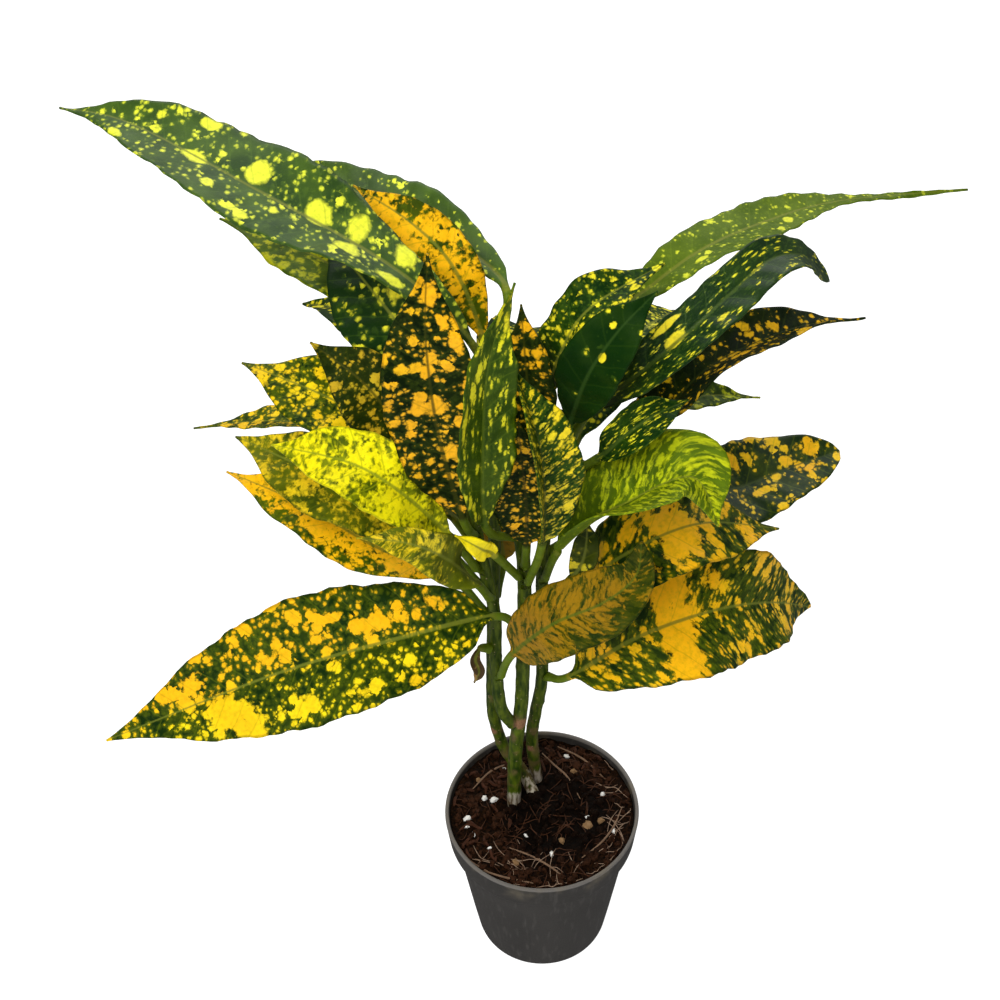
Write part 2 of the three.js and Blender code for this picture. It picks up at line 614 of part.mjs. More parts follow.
const plant = new THREE.Group();
plant.name = 'potted_croton';
Object.entries(STEMS).forEach(([name, stem]) => growStem(name, stem));
addMesh(plant, 'pot', potBody(), LOOKS.pot);
addMesh(plant, 'soil', soilBody(), LOOKS.soil);
Object.keys(STEMS).forEach((name) => {
  addMesh(plant, name, bodyFromRings(stemRings(name)), LOOKS.stem);
});
Object.entries(LEAVES).forEach(([name, leaf]) => {
  addMesh(plant, name, leafBody(leaf), leafLook(name));
});

export default plant;
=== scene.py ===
"""Dresses the potted croton: fine leaves, stems, soil and pot in place of the plain solids."""
import math

import bpy
import numpy as np
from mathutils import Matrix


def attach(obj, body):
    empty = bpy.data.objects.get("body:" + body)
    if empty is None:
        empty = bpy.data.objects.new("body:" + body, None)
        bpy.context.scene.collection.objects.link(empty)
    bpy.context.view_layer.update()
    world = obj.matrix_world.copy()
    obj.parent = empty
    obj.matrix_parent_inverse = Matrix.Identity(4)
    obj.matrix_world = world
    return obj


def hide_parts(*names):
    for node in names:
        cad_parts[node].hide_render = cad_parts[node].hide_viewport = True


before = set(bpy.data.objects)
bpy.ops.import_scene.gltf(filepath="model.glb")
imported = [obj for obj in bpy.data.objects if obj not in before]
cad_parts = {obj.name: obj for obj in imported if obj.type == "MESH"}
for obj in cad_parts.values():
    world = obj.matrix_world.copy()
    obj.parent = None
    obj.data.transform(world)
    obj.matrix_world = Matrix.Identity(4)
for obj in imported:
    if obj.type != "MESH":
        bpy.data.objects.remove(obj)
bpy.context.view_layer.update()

# Everything below is in millimetres until a mesh is made.
MM = 0.001
TURN = 2 * np.pi
GAP = 0.3
POT_HEIGHT = 57
RIM_RADIUS = 30
BASE_RADIUS = 21
COLLAR_FOOT = 47
COLLAR_STEP = 1.8
COLLAR_TAPER = 0.9
COLLAR_WALL = 1.7
WALL = 1.1
POT_SIDES = 144
DRAIN = {"radius": 1.8, "ring": 13, "count": 4, "sides": 40}
SOIL_TOP = 55
SOIL_EDGE_DROP = 0.6
SOIL_FLARE = 0.4
SOIL_SHOULDER = 25.5
SOIL_SIDES = 220
SOIL_RINGS = 66
LUMP_HEIGHT = 0.8
LITTER_REACH = 27.4

LEAF_THICKNESS = 0.55
LEAF_LANES = 24
LEAF_STATIONS = 64
LEAF_CUP = 6
PETIOLE_RADIUS = 1.15
PETIOLE_STATIONS = 9
PETIOLE_FLARE = 0.5
PETIOLE_FLARE_REACH = 1.6
STALK_BLEND = 0.07
MIDRIB_DEPTH = 0.5
MIDRIB_GROOVE = 0.18
MIDRIB_WIDTH = 0.9
TIP_HALF_WIDTH = 0.25
CURVE_STEPS = 50
VEIN_SPACING = 6.5
VEIN_SLANT = 0.75
QUILT = 0.16
CRINKLE = 0.3
CRINKLE_RATE = 0.9
STEM_SIDES = 24
STEM_STATIONS = 90
SCAR_REACH = 0.8
SCAR_HEIGHT = 0.22

# Waves that a leaf's edge wanders in: how far, as a share of its half width, and how often.
EDGE_WAVES = ((0.018, 0.42), (0.012, 1.1))

# The leaf map's unit, and how much further on each leaf reads its noise.
MAP_UNIT = 100
SEED_STEP = 17.3

CAMERA = (0, -324, 513)
PITCH_DOWN = 44.8
FOCAL_PIXELS = 1781
FRAME_PIXELS = 1000
CENTRE_PIXEL = 542
SENSOR = 36

# Stems, from the buried foot to the top: centre points, foot and top radius, and old leaf scars, each
# as its height and the way it faces. stem_branch grows from another stem at the height z.
STEMS = {
    "stem_front": {
        "path": [(-9, 4, 44), (-8, 4, 80), (-6, 4, 105), (-5, 4, 140), (-5, 3, 165), (-7, 0, 190)],
        "radii": (2.2, 1.8),
        "scars": [(66, 0), (75, 2.4), (84, 4.4), (92, 1.2), (106, 3.3), (120, 0.4), (134, 2), (150, 4)],
    },
    "stem_back": {
        "path": [(-1, 4, 44), (-2, 6, 53), (-6, 11, 61), (-11, 14, 67), (-14, 14, 80), (-15, 13, 95),
                 (-14, 14, 130), (-13, 15, 170), (-14, 18, 222)],
        "radii": (1.9, 1.7),
        "scars": [(72, 1), (88, 3), (101, 5), (116, 0.6), (140, 2.2), (160, 4.4), (180, 1.2)],
    },
    "stem_right": {
        "path": [(-1, 14, 44), (-3, 12, 75), (-2, 11, 90), (0, 10, 110), (0, 10, 150), (1, 9, 175),
                 (4, 8, 214)],
        "radii": (1.9, 1.7),
        "scars": [(70, 4), (83, 0.8), (97, 2.6), (124, 4.6), (141, 1), (160, 3), (180, 5)],
    },
    "stem_branch": {
        "from": "stem_front", "z": 95,
        "path": [(-12, 1, 106), (-13, 1, 126), (-13, 1, 146), (-16, 0, 170), (-20, -1, 204)],
        "radii": (1.8, 1.7),
        "scars": [(112, 1.2), (128, 3.4), (142, 5.2), (160, 1.6), (178, 3.6)],
    },
}

# Places where the bark is torn off and brown, with their reach.
BARK_TEARS = [((-6, 1.5, 96), 2.4), ((-4, 9.5, 73), 1.8), ((-15, 13, 79), 1.5)]

# The darkest part of the soil, partly wet and partly painted shade under the leaves, as its middle and
# reach.
WET_AND_SHADED_PLACE = (5, -1)
WET_AND_SHADED_REACH = 25

# White grit, bark bits and loose roots, by their places on the soil.
GRIT = [(-18, 5), (-15, 4), (-23, -3), (-23, -6), (-21, -8), (-5, -9), (14, -2), (-16, -14), (3, -16),
        (19, 6), (-12, 16), (8, 21), (22, -7), (-3, 23)]
BARK_BITS = [(14, -5), (6, -11), (18, -4), (-8, -19), (-20, 12), (10, 15)]
ROOTS = [[(0, 22), (4, 17), (8, 12), (12, 5)], [(-26, -12), (-22, -18), (-16, -22)],
         [(-10, -14), (-3, -17), (3, -21), (7, -24)], [(25, 2), (22, -6), (18, -12), (12, -17)],
         [(-20, -20), (-12, -24), (-2, -26)], [(-22, 8), (-16, 15), (-8, 20)], [(5, 25), (13, 20), (20, 13)]]

# Tones of the leaves, as linear colours: deep green, mid green, spot colour and its warmer companion.
TONES = {
    "black": ((0.003, 0.009, 0.001), (0.035, 0.055, 0.003), (0.8, 0.56, 0.008), (0.82, 0.4, 0.006)),
    "dark": ((0.003, 0.019, 0.001), (0.045, 0.095, 0.004), (0.76, 0.7, 0.02), (0.74, 0.52, 0.01)),
    # The crown's mid green is partly painted sheen: the leaves' green is greyed to the shine that the top
    # leaves catch from the light above.
    "crown": ((0.018, 0.048, 0.004), (0.075, 0.14, 0.01), (0.78, 0.82, 0.04), (0.74, 0.74, 0.02)),
    "green": ((0.022, 0.05, 0.001), (0.09, 0.14, 0.003), (0.66, 0.62, 0.012), (0.64, 0.54, 0.01)),
    "fresh": ((0.05, 0.090, 0.002), (0.13, 0.19, 0.006), (0.62, 0.66, 0.03), (0.62, 0.6, 0.02)),
    "dusky": ((0.008, 0.016, 0.001), (0.04, 0.055, 0.003), (0.48, 0.42, 0.02), (0.46, 0.28, 0.01)),
    "olive": ((0.014, 0.030, 0.001), (0.12, 0.14, 0.003), (0.68, 0.58, 0.012), (0.7, 0.44, 0.008)),
    "lime": ((0.020, 0.045, 0.001), (0.1, 0.16, 0.002), (0.44, 0.49, 0.006), (0.48, 0.44, 0.006)),
    "lemon": ((0.05, 0.075, 0.001), (0.27, 0.3, 0.002), (0.8, 0.74, 0.004), (0.78, 0.6, 0.004)),
    "gold": ((0.005, 0.019, 0.001), (0.12, 0.16, 0.002), (0.88, 0.68, 0.008), (0.86, 0.44, 0.005)),
    # The shaded ochre tone is dimmed as painted shade: its colours are darkened for the shaded leaves low in
    # the plant.
    "shaded_ochre": ((0.012, 0.024, 0.001), (0.07, 0.075, 0.002), (0.27, 0.16, 0.003), (0.25, 0.12, 0.003)),
    "dry": ((0.06, 0.035, 0.012), (0.12, 0.07, 0.02), (0.32, 0.2, 0.07), (0.22, 0.11, 0.03)),
}


class Leaf:
    """One leaf: its form as the solids have it, then its markings."""

    # Where it is widest, how much its tip narrows, how pointed its ends are, and face and fold at the tip.
    peak = 0.48
    tip = 0.55
    blunt = 0.8
    face_tip = None
    fold_tip = None

    # How many large and small marks it has from 0 to 1, their size, how far they are stretched along the
    # side veins, or along the blade when under 1, and whether they lie evenly.
    spot = 0
    speck = 0
    size = 1
    stretch = 1.15
    even = False

    # How far golden areas reach, the green flecks left in them, how torn and how soft their outlines are,
    # and how strongly they break into rows between the side veins.
    gold = 0
    fleck = 0
    ragged = 1
    soft = 1
    rows = 0

    # Golden areas, each given as t along the blade, u across it from -1 to 1, half length, half width and
    # strength. One with a strength under 0 has fewer marks.
    patches = ()

    # How warm the spots are, in all and more so on one flank, and how pale the green is, in all, round
    # the marks and at the margin.
    warm = 0.3
    flank = 0
    pale = 0
    ring = 0.45
    pale_margin = False

    # How strong the side veins are, the midrib's colour, and how much the leaf shines.
    vein = 0.25
    rib = (0.14, 0.16, 0.015)
    sheen = 0.03

    def __init__(self, name, stem, tone, z, width, face, fold, wave, path, **own):
        """Its stem and tone, the height that it grows at, its width, the way that its face looks, how far
        its halves fold up in degrees, as one angle or two, its waves as height, count and phase, its
        centre line, and values of its own in place of those above."""
        self.name = name
        self.stem = stem
        self.tone = tone
        self.z = z
        self.width = width
        self.face = face
        self.fold = fold
        self.wave = wave
        self.path = path
        for key, value in own.items():
            assert hasattr(self, key), key
            setattr(self, key, value)


LEAVES = [
    Leaf("crown_left_long", "back", "crown", 213, 27.5, (0, -0.1, 1), 10, (1.8, 2.6, 0.1), [(-16, 12, 231),
        (-34, 17, 251), (-70, 30, 267), (-100, 46, 274), (-119, 56, 272)], peak=0.54, blunt=0.95, spot=0.2,
        speck=0.5, warm=0.1, sheen=0.6, size=0.8, ragged=0.3, pale=0.5, soft=1.4,
        patches=[(0.69, 0.85, 2.4, 1.8, 1.2), (0.83, -0.8, 2.6, 1.4, 1.1), (0.67, -0.03, 3.6, 1.8, 1.2),
        (0.61, -0.5, 1.7, 1.8, 1.1), (0.55, 0.33, 2.9, 3.4, 1.2), (0.41, 0.17, 3.1, 3, 1.2),
        (0.33, 0.42, 2.5, 3.8, 1.1), (0.23, 0.66, 2.8, 3.4, 1.1), (0.33, -0.33, 3.4, 1.8, 1.1),
        (0.23, -0.6, 3.4, 1.9, 1.1), (0.48, -0.25, 1.3, 1.4, 1.1), (0.78, 0.6, 1.4, 1.4, 1)]),
    Leaf("crown_left_back", "back", "crown", 218, 19, (0, -0.1, 1), 14, (1, 2.2, 0.4), [(-9, 33, 233),
        (-23, 46, 239), (-45, 62, 241), (-74, 77, 242)], speck=0.3, spot=0.12, warm=0.1, sheen=0.6, pale=0.9,
        size=0.7),
    Leaf("crown_orange", "back", "gold", 209, 14, (0.1, -0.8, 0.5), 6, (1.2, 3, 0.2), [(-15, 25, 224),
        (-22, 32, 241), (-32, 38, 250), (-47, 46, 256)], gold=0.5, fleck=0.7, warm=1.1, speck=0.6, pale=0.5,
        size=1.1, patches=[(0.75, 0, 7, 6, 0.8), (0.45, 0, 7, 5, 0.8)]),
    Leaf("crown_left_under", "back", "lime", 200, 24, (0, -0.2, 1), 12, (1.2, 2.4, 0.6), [(-22, 23, 214),
        (-38, 36, 226), (-60, 47, 234), (-84, 57, 238)], gold=0.35, fleck=0.6, spot=0.6, speck=0.6, warm=0.6,
        pale=0.8, soft=1.5),
    Leaf("left_dark", "branch", "dark", 197, 26, (-0.2, -0.6, 0.8), 8, (1, 2, 0), [(-22, 10, 213),
        (-32, 19, 227), (-44, 32, 236), (-55, 48, 239)], spot=0.55, speck=0.4, warm=0.1, sheen=0.4,
        even=True, soft=1.6, ragged=0.4, patches=[(0.55, 0.35, 2.4, 2.2, 1), (0.4, 0.5, 2, 2, 1)]),
    Leaf("back_left_thin", "back", "dark", 186, 20, (0, 0, 1), 14, (1, 2, 0.3), [(-23, 26, 198),
        (-38, 40, 209), (-52, 52, 211), (-66, 63, 205)], spot=0.4, speck=0.5),
    Leaf("centre_dark", "branch", "black", 180, 24, (0, -1, 0.1), 6, (1.2, 3, 0.2), [(-20, -9, 194),
        (-25, -8, 222), (-27, -4, 248), (-26, 2, 268)], spot=0.85, speck=0.7, warm=0.9, size=0.77,
        ragged=0.55, even=True, rib=(0.03, 0.035, 0.002), patches=[(0.87, 0.2, 2.6, 1.7, 1.1),
        (0.79, 0.5, 2.2, 1.4, 1), (0.71, 0.75, 2.8, 1.4, 1), (0.61, 0, 1.9, 1.9, 1),
        (0.48, 0.1, 2.6, 2.4, 1), (0.48, -0.33, 2, 2.2, 1), (0.56, 0.8, 3, 1.3, 1),
        (0.3, 0.2, 1.6, 1.8, 0.9), (0.42, 0.5, 1.8, 1.8, 0.9)]),
    Leaf("centre_narrow", "front", "green", 178, 17, (0.55, -0.83, 0.1), 14, (0.8, 2.4, 0.5),
        [(-14, -15, 197), (-14, -18, 228), (-12, -16, 252), (-6, -10, 269)], spot=0.85, speck=0.2,
        stretch=0.55, size=0.72, even=True, rib=(0.07, 0.11, 0.004), pale=0.25, soft=1.25, ragged=0.4,
        patches=[(0.88, 0.6, 5, 1.2, 0.9), (0.55, -0.85, 8, 1.3, 0.8), (0.5, 0, 20, 2, -0.5)]),
    Leaf("centre_spotted", "front", "black", 184, 14, (0, -1, 0.3), 10, (0.8, 2, 0), [(-2, 0, 204),
        (-3, 2, 220), (-4, 5, 234), (-5, 10, 247)], spot=0.8, speck=0.5, warm=0.9, size=0.65, even=True,
        rib=(0.03, 0.035, 0.002)),
    Leaf("centre_folded", "front", "dark", 157, 20, (0.15, -1, 0.1), (75, 4), (0.8, 2, 0.2), [(0, -15, 191),
        (0, -16, 218), (-3, -13, 234), (-7, -8, 243)], spot=0.8, speck=0.7, stretch=1.8, size=0.5, warm=0.7,
        even=True, rib=(0.05, 0.07, 0.004)),
    Leaf("centre_deep", "front", "black", 165, 18, (0, -1, 0.3), 8, (0.8, 2, 0.4), [(-4, -6, 181),
        (-4, -7, 197), (-5, -6, 211), (-6, -4, 223)], spot=0.6, speck=0.6, warm=0.9, size=0.6, even=True,
        rib=(0.02, 0.024, 0.002)),
    Leaf("right_arched", "right", "dark", 198, 16, (-0.4, -0.4, 0.8), 16, (1, 2.4, 0.3), [(2, 13, 216),
        (5, 12, 231), (12, 15, 242), (30, 26, 247)], spot=0.75, speck=0.4, warm=0.25, size=0.6, even=True),
    Leaf("right_plain", "right", "dark", 194, 16, (-0.2, -0.7, 0.6), 8, (0.6, 2, 0), [(7, 0, 218),
        (11, -3, 236), (18, -1, 248), (27, 5, 255)], speck=0.06, vein=0.1, rib=(0.02, 0.05, 0.006),
        ragged=0.3, patches=[(0.55, 0.1, 1.3, 1.1, 1.1), (0.72, -0.3, 1, 0.9, 1)]),
    Leaf("right_streaked", "right", "dark", 196, 13, (0, -0.5, 0.9), 10, (0.9, 2.6, 0.2), [(12, 9, 214),
        (24, 6, 229), (36, 8, 241), (46, 14, 248), (55, 22, 251), (64, 29, 247), (73, 37, 233)], peak=0.45,
        tip=0.1, blunt=0.6, speck=0.26, spot=0.05, stretch=0.5, size=0.6, sheen=0.9, warm=0.1, even=True,
        ragged=0.3, rib=(0.04, 0.07, 0.008), patches=[(0.34, -0.1, 3, 1.5, 1.2),
        (0.35, -0.75, 4.5, 0.9, 1.2), (0.47, 0.5, 2, 0.8, 1)]),
    Leaf("crown_right_long", "right", "fresh", 206, 18, (0, 0.1, 1), 8, (0.8, 2.6, 0.5), [(16, 28, 226),
        (27, 34, 233), (41, 43, 238.5), (59, 56, 238), (79, 68, 235.5), (116, 80, 231)], peak=0.34, tip=0,
        blunt=2, speck=0.3, spot=0.08, warm=0.1, size=0.6, pale=0.5, even=True, ragged=0.3,
        patches=[(0.5, 0.42, 1.5, 1.5, 1.1), (0.25, 0.5, 2, 1.2, 1)]),
    Leaf("right_dark", "right", "black", 174, 23, (0, -0.3, 1), (0, 46), (1.2, 2.6, 0.1), [(19, 14, 195),
        (33, 18, 208), (45, 24, 217), (66, 34, 220), (85, 42, 217)], peak=0.4, tip=0.6, blunt=1.1, spot=0.72,
        speck=0.35, warm=0.6, size=0.78, even=True, ring=0.2, rib=(0.02, 0.03, 0.002)),
    Leaf("right_curled", "right", "dark", 191, 11, (0, -0.6, 0.8), 12, (0.8, 2.4, 0.3), [(14, -2, 208),
        (20, -3, 216), (27, -1, 221), (36, 4, 222)], spot=0.12, speck=0.5, stretch=0.5, size=0.5, warm=0.1,
        ring=0.2, even=True, pale_margin=True, rib=(0.04, 0.07, 0.008)),
    Leaf("right_under", "right", "lime", 171, 12, (0, 0, 1), 12, (1, 2, 0.4), [(13, 20, 179), (27, 33, 189),
        (42, 41, 190), (61, 50, 182)], spot=0.7, speck=0.7, gold=0.3, fleck=0.8),
    # right_lime's patch under 0 at its base thins the marks and leaves the base darker green; that darkness
    # is painted shade on the folded base.
    Leaf("right_lime", "right", "lime", 152, 29, (0, -0.6, 0.8), (0, 110), (1.4, 2, 0.2), [(4, -4, 176),
        (12, -7, 190), (20, -7, 196), (37, -6, 205), (44, -14, 196)], peak=0.58, fold_tip=(-6, 35), gold=1.1,
        rows=0.36, stretch=1.6, speck=0.4, spot=0.3, vein=0.3, pale=0.9, size=0.8, pale_margin=True,
        warm=0.1, soft=1.6, patches=[(0, 0, 22, 24, -1.7)]),
    Leaf("right_blunt", "right", "gold", 160, 28, (0, -0.3, 1), 8, (1.4, 3, 0.1), [(28, 32, 167),
        (42, 39, 155), (56, 47, 149), (73, 54, 151), (88, 60, 152)], peak=0.5, tip=0.1, blunt=0.5, spot=0.35,
        speck=0.55, warm=0.6, sheen=0.4, size=0.8, ragged=0.6, rib=(0.03, 0.05, 0.006), ring=0.2,
        patches=[(0.89, -0.75, 1.4, 1.2, 1.1), (0.88, -0.35, 2, 1.7, 1.1), (0.77, -0.25, 1.6, 2, 1.1),
        (0.85, 0.25, 3.6, 1.2, 1.1), (0.7, 0.1, 1.6, 1.2, 1.1), (0.62, 0.3, 3.2, 1.3, 1.1),
        (0.56, -0.55, 1.6, 2.2, 1.1), (0.35, 0.8, 1.9, 1.2, 1)]),
    Leaf("low_right_orange", "branch", "shaded_ochre", 121, 20, (-0.1, -0.6, 0.8), 6, (1, 2.2, 0.5), [(-8, -9, 141),
        (3, -13, 158), (16, -11, 164), (24.5, -7, 170), (26, -3, 179)], peak=0.46, tip=0.3, blunt=0.6,
        gold=0.7, rows=0.66, stretch=1.9, warm=0.5, size=0.7, speck=0.6, spot=0.85, pale=0.2,
        rib=(0.07, 0.1, 0.006), patches=[(0.3, -0.2, 14, 7, 0.7), (0.95, 0, 14, 12, -0.4),
        (0.4, 1, 26, 4, -0.4)]),
    Leaf("low_right_big", "right", "gold", 110, 35, (0, -0.5, 0.9), 4, (2.2, 2.6, 0.3), [(8, 3, 117),
        (27, 4, 133), (49, 14, 133), (67, 26, 123), (83, 44, 101)], peak=0.42, tip=0.3,
        face_tip=(0.8, -0.5, 0.4), spot=0.85, speck=0.7, stretch=1.7, fleck=0.3, warm=0.85, pale=0.2,
        size=0.8, ragged=0.8, patches=[(0.36, -0.75, 5.5, 7, 1.2), (0.35, 0, 5, 7, 1.2),
        (0.33, 0.7, 4.5, 6, 1.1), (0.47, 0.2, 2, 7, 0.5), (0.48, -0.6, 2.4, 6, 0.6)]),
    Leaf("right_gold", "right", "gold", 130, 28, (-0.2, -0.4, 0.9), (-16, 6), (1.4, 2.4, 0.2), [(9, 10, 143),
        (20, 10, 158), (42, 15, 167), (67, 28, 152)], peak=0.4, gold=0.02, spot=0.9, speck=0.7, stretch=1.6,
        fleck=0.3, warm=0.85, size=0.85, patches=[(0.33, -0.4, 3, 3.4, 0.9), (0.5, 0, 5, 12, 1.2),
        (0.8, 0.4, 2.4, 5, 1)]),
    Leaf("low_left_big", "front", "gold", 138, 36, (0, -0.45, 0.9), 6, (1.4, 2.4, 0.1), [(-13, -5, 152),
        (-38, -11, 150), (-72, -18, 143), (-117, -30, 130)], peak=0.42, spot=0.9, speck=0.93, warm=0.6,
        flank=0.8, size=0.9, ragged=0.75, ring=0.35, patches=[(0.04, 0.3, 9, 6, -0.9), (0.2, 1, 8, 3, -0.7),
        (0.65, -0.75, 3.6, 5, 1.2), (0.71, -0.35, 4, 4.6, 1.2), (0.39, 0.58, 3, 2, 1),
        (0.28, 0.38, 3.6, 2.4, 1), (0.14, 0.6, 3, 3, 1.1), (0.76, 0.5, 3.4, 3, 0.9),
        (0.56, 0.3, 3, 2.4, 0.8), (0.36, -0.7, 3, 2.4, 0.9), (0.22, -0.85, 3.2, 2.2, 0.9),
        (0.49, -0.6, 2.4, 3, 0.9), (0.08, -0.7, 2.4, 2, 0.9)]),
    Leaf("left_gold", "branch", "gold", 146, 20, (0, -0.3, 1), 8, (1.2, 2.6, 0.3), [(-25, 1, 162),
        (-43, 2, 171), (-64, 10, 180), (-84, 18, 184)], gold=0.1, fleck=0.5, spot=0.9, warm=0.9, speck=0.8,
        pale=0.4, size=0.8, ragged=0.8, patches=[(0.5, 0.05, 17, 5.5, 1.3), (0.08, -0.3, 7, 6, 0.8),
        (0.93, 0, 5, 4, 0.7)]),
    Leaf("left_olive", "branch", "olive", 158, 24, (0, -0.5, 1), 8, (1.2, 2.4, 0), [(-26, 0, 174),
        (-44, 5, 187), (-60, 11, 191), (-81, 22, 193)], gold=0.5, fleck=0.9, warm=0.7, speck=0.6, pale=1,
        soft=1.5, patches=[(0.5, 0, 12, 4, 0.5)]),
    Leaf("left_lemon", "branch", "lemon", 166, 19, (0, -0.5, 0.9), 8, (1.2, 2.6, 0.2), [(-23.5, -8, 186),
        (-35, -12, 206), (-47, -10, 214), (-67, -2, 212.5)], peak=0.52, tip=0.3, blunt=0.9, gold=0.9,
        fleck=0.85, warm=0.35, vein=0.5, pale=0.4, speck=0.6, soft=1.4, rib=(0.2, 0.24, 0.01),
        patches=[(0.9, 0, 8, 8, 0.5), (0.1, 0, 8, 8, -0.4)]),
    Leaf("left_drip", "back", "gold", 168, 16, (0, 0.3, 1), 10, (0.8, 2.4, 0.6), [(-28, 20, 182),
        (-52, 32, 186), (-76, 40, 182), (-98, 46, 174)], gold=0.1, fleck=0.6, spot=0.85, speck=0.7, warm=0.7,
        size=0.7),
    Leaf("left_spotted", "branch", "gold", 183, 26, (0, -0.3, 1), (8, -8), (1.2, 2.6, 0.4), [(-24, 9, 196),
        (-38, 12, 204), (-56, 17, 212), (-77, 25, 216)], fleck=0.4, spot=0.92, speck=0.8, warm=0.4,
        ragged=0.7, size=0.7, patches=[(0.9, -0.4, 2.6, 2, 0.8), (0.8, 0.4, 2.4, 2, 0.8),
        (0.66, 0.5, 2.4, 2, 0.8)]),
    Leaf("left_brown", "branch", "dusky", 190, 20, (0, -0.7, 0.7), 10, (1.2, 2.8, 0.2), [(-27, 3, 200),
        (-35, 4, 212), (-44, 8, 224), (-57, 14, 232)], gold=-0.4, spot=0.6, speck=0.6, warm=0.8, size=0.62,
        ring=0.3, even=True, rib=(0.05, 0.05, 0.004)),
    Leaf("left_torn", "branch", "olive", 155, 13, (0, -0.1, 1), 10, (1, 3.4, 0.1), [(-17, -13, 174),
        (-25, -24, 196), (-34, -27, 204), (-45, -24, 202)], peak=0.4, face_tip=(0, -1, 0.3), gold=0.8,
        fleck=0.7, speck=0.4, pale=1, warm=0.5, pale_margin=True, rows=0.6, stretch=1.6, size=0.8, soft=1.4,
        patches=[(0.1, 0, 16, 9, -1.4)]),
    Leaf("left_scrap", "front", "lemon", 160, 5.5, (0, -0.8, 0.6), 14, (0.3, 2, 0), [(-12, -18, 190),
        (-14.5, -23, 197), (-17.5, -24.5, 201), (-21, -25, 204)], gold=1, warm=0.9, pale=1),
    Leaf("inner_orange", "back", "shaded_ochre", 138, 15, (0, -1, 0.3), 8, (1, 2, 0), [(-11, 20, 147),
        (-12, 21, 158), (-16, 24, 170), (-21, 30, 184)], gold=0.9, fleck=0.4),
    Leaf("small_bud", "right", "olive", 142, 8, (0, -1, 0.2), 10, (0.2, 1, 0), [(8, 8, 153), (11, 8, 160),
        (12, 9, 167), (12, 10, 174)], spot=0.4, speck=0.4, pale=0.4),
    Leaf("withered", "branch", "dry", 133, 3.6, (0, -1, 0.2), 20, (0.3, 2, 0), [(-17, -2, 135),
        (-18.5, -4, 133), (-17.5, -5, 129), (-19, -5, 124)], gold=0.3, spot=0.4),
    Leaf("back_centre", "back", "dark", 174, 24, (0, 0.1, 1), 8, (1.2, 2.4, 0.2), [(-11, 29, 188),
        (-8, 50, 196), (-4, 75, 186), (-2, 98, 165)], spot=0.7, speck=0.7),
    Leaf("back_right", "right", "dark", 180, 24, (0, 0, 1), 8, (1.2, 2.4, 0.5), [(9, 21, 192), (21, 43, 203),
        (34, 66, 198), (45, 88, 180)], spot=0.6, speck=0.8, warm=0.2, size=0.8),
    Leaf("back_left_low", "back", "gold", 148, 26, (0, 0, 1), 6, (1.2, 2.4, 0.3), [(-24, 25, 158),
        (-40, 44, 164), (-56, 60, 157), (-70, 73, 144)], spot=0.9, speck=0.9, warm=0.6, flank=0.5, pale=0.3,
        patches=[(0.5, 0.4, 7, 6, 1.2), (0.3, -0.4, 4, 4, 1)]),
    Leaf("back_right_low", "right", "black", 136, 25, (0, 0, 1), 6, (1.2, 2.4, 0.1), [(0, 25, 147),
        (3, 45, 151), (10, 65, 142), (18, 83, 124)], spot=0.8, speck=0.8, warm=0.8),
    Leaf("back_low", "back", "gold", 130, 25, (0, 0.1, 1), 6, (1.2, 2.4, 0.4), [(-14, 27, 139),
        (-15, 50, 139), (-17, 72, 127), (-19, 90, 108)], gold=0.25, spot=0.8, speck=0.8, fleck=0.5, warm=0.7,
        patches=[(0.45, 0, 9, 8, 1.2)]),
]


# Geometry helpers

def unit(vectors):
    return vectors / np.maximum(np.linalg.norm(vectors, axis=-1, keepdims=True), 1e-12)


def smooth(value, low, high):
    share = np.clip((value - low) / (high - low), 0, 1)
    return share * share * (3 - 2 * share)


def turns(sides):
    return np.arange(sides) * TURN / sides


def level_ring(angle, radius, z):
    """Points at the given angles on a level circle about the middle of the pot."""
    return np.column_stack([radius * np.cos(angle), radius * np.sin(angle), np.full(len(angle), z)])


def curve_through(points, steps):
    """Points of a smooth curve through the given ones, with that many steps between each two."""
    points = np.asarray(points, float)
    padded = np.vstack([2 * points[0] - points[1], points, 2 * points[-1] - points[-2]])
    share = (np.arange(steps) / steps)[:, None]
    curve = []
    for before, start, end, after in zip(padded, padded[1:], padded[2:], padded[3:]):
        leave = 0.5 * (end - before)
        arrive = 0.5 * (after - start)
        cubic = 2 * start - 2 * end + leave + arrive
        square = -3 * start + 3 * end - 2 * leave - arrive
        curve.append(start + leave * share + square * share ** 2 + cubic * share ** 3)
    return np.vstack(curve + [points[-1:]])


def lengths_of(points):
    steps = np.linalg.norm(np.diff(points, axis=0), axis=1)
    return np.concatenate([[0], np.cumsum(steps)])


def along(points, lengths, where):
    return np.array([np.interp(where, lengths, points[:, k]) for k in range(3)])


def round_ring(centre, side, up, radius, sides):
    angle = np.pi - (np.arange(sides) + 0.5) * TURN / sides
    radius = np.broadcast_to(radius, (sides,))
    return centre + np.outer(radius * np.cos(angle), side) + np.outer(radius * np.sin(angle), up)


def tube_faces(rings, sides):
    """Faces of a tube of rings, with both its ends closed."""
    faces = []
    for r in range(rings - 1):
        for k in range(sides):
            after = (k + 1) % sides
            faces.append((r * sides + k, r * sides + after, (r + 1) * sides + after, (r + 1) * sides + k))
    faces.append(tuple(range(sides))[::-1])
    faces.append(tuple((rings - 1) * sides + k for k in range(sides)))
    return faces


def joined(shapes):
    """Many small closed shapes, each its points and faces, as one mesh."""
    points, faces, start = [], [], 0
    for shape, shape_faces in shapes:
        points.append(shape)
        faces += [tuple(start + k for k in face) for face in shape_faces]
        start += len(shape)
    return np.vstack(points), faces


def new_object(name, data):
    made = bpy.data.objects.new(name, data)
    bpy.context.scene.collection.objects.link(made)
    return made


def new_mesh(name, points, faces):
    mesh = bpy.data.meshes.new(name)
    mesh.from_pydata((np.asarray(points) * MM).tolist(), [], faces)
    return mesh


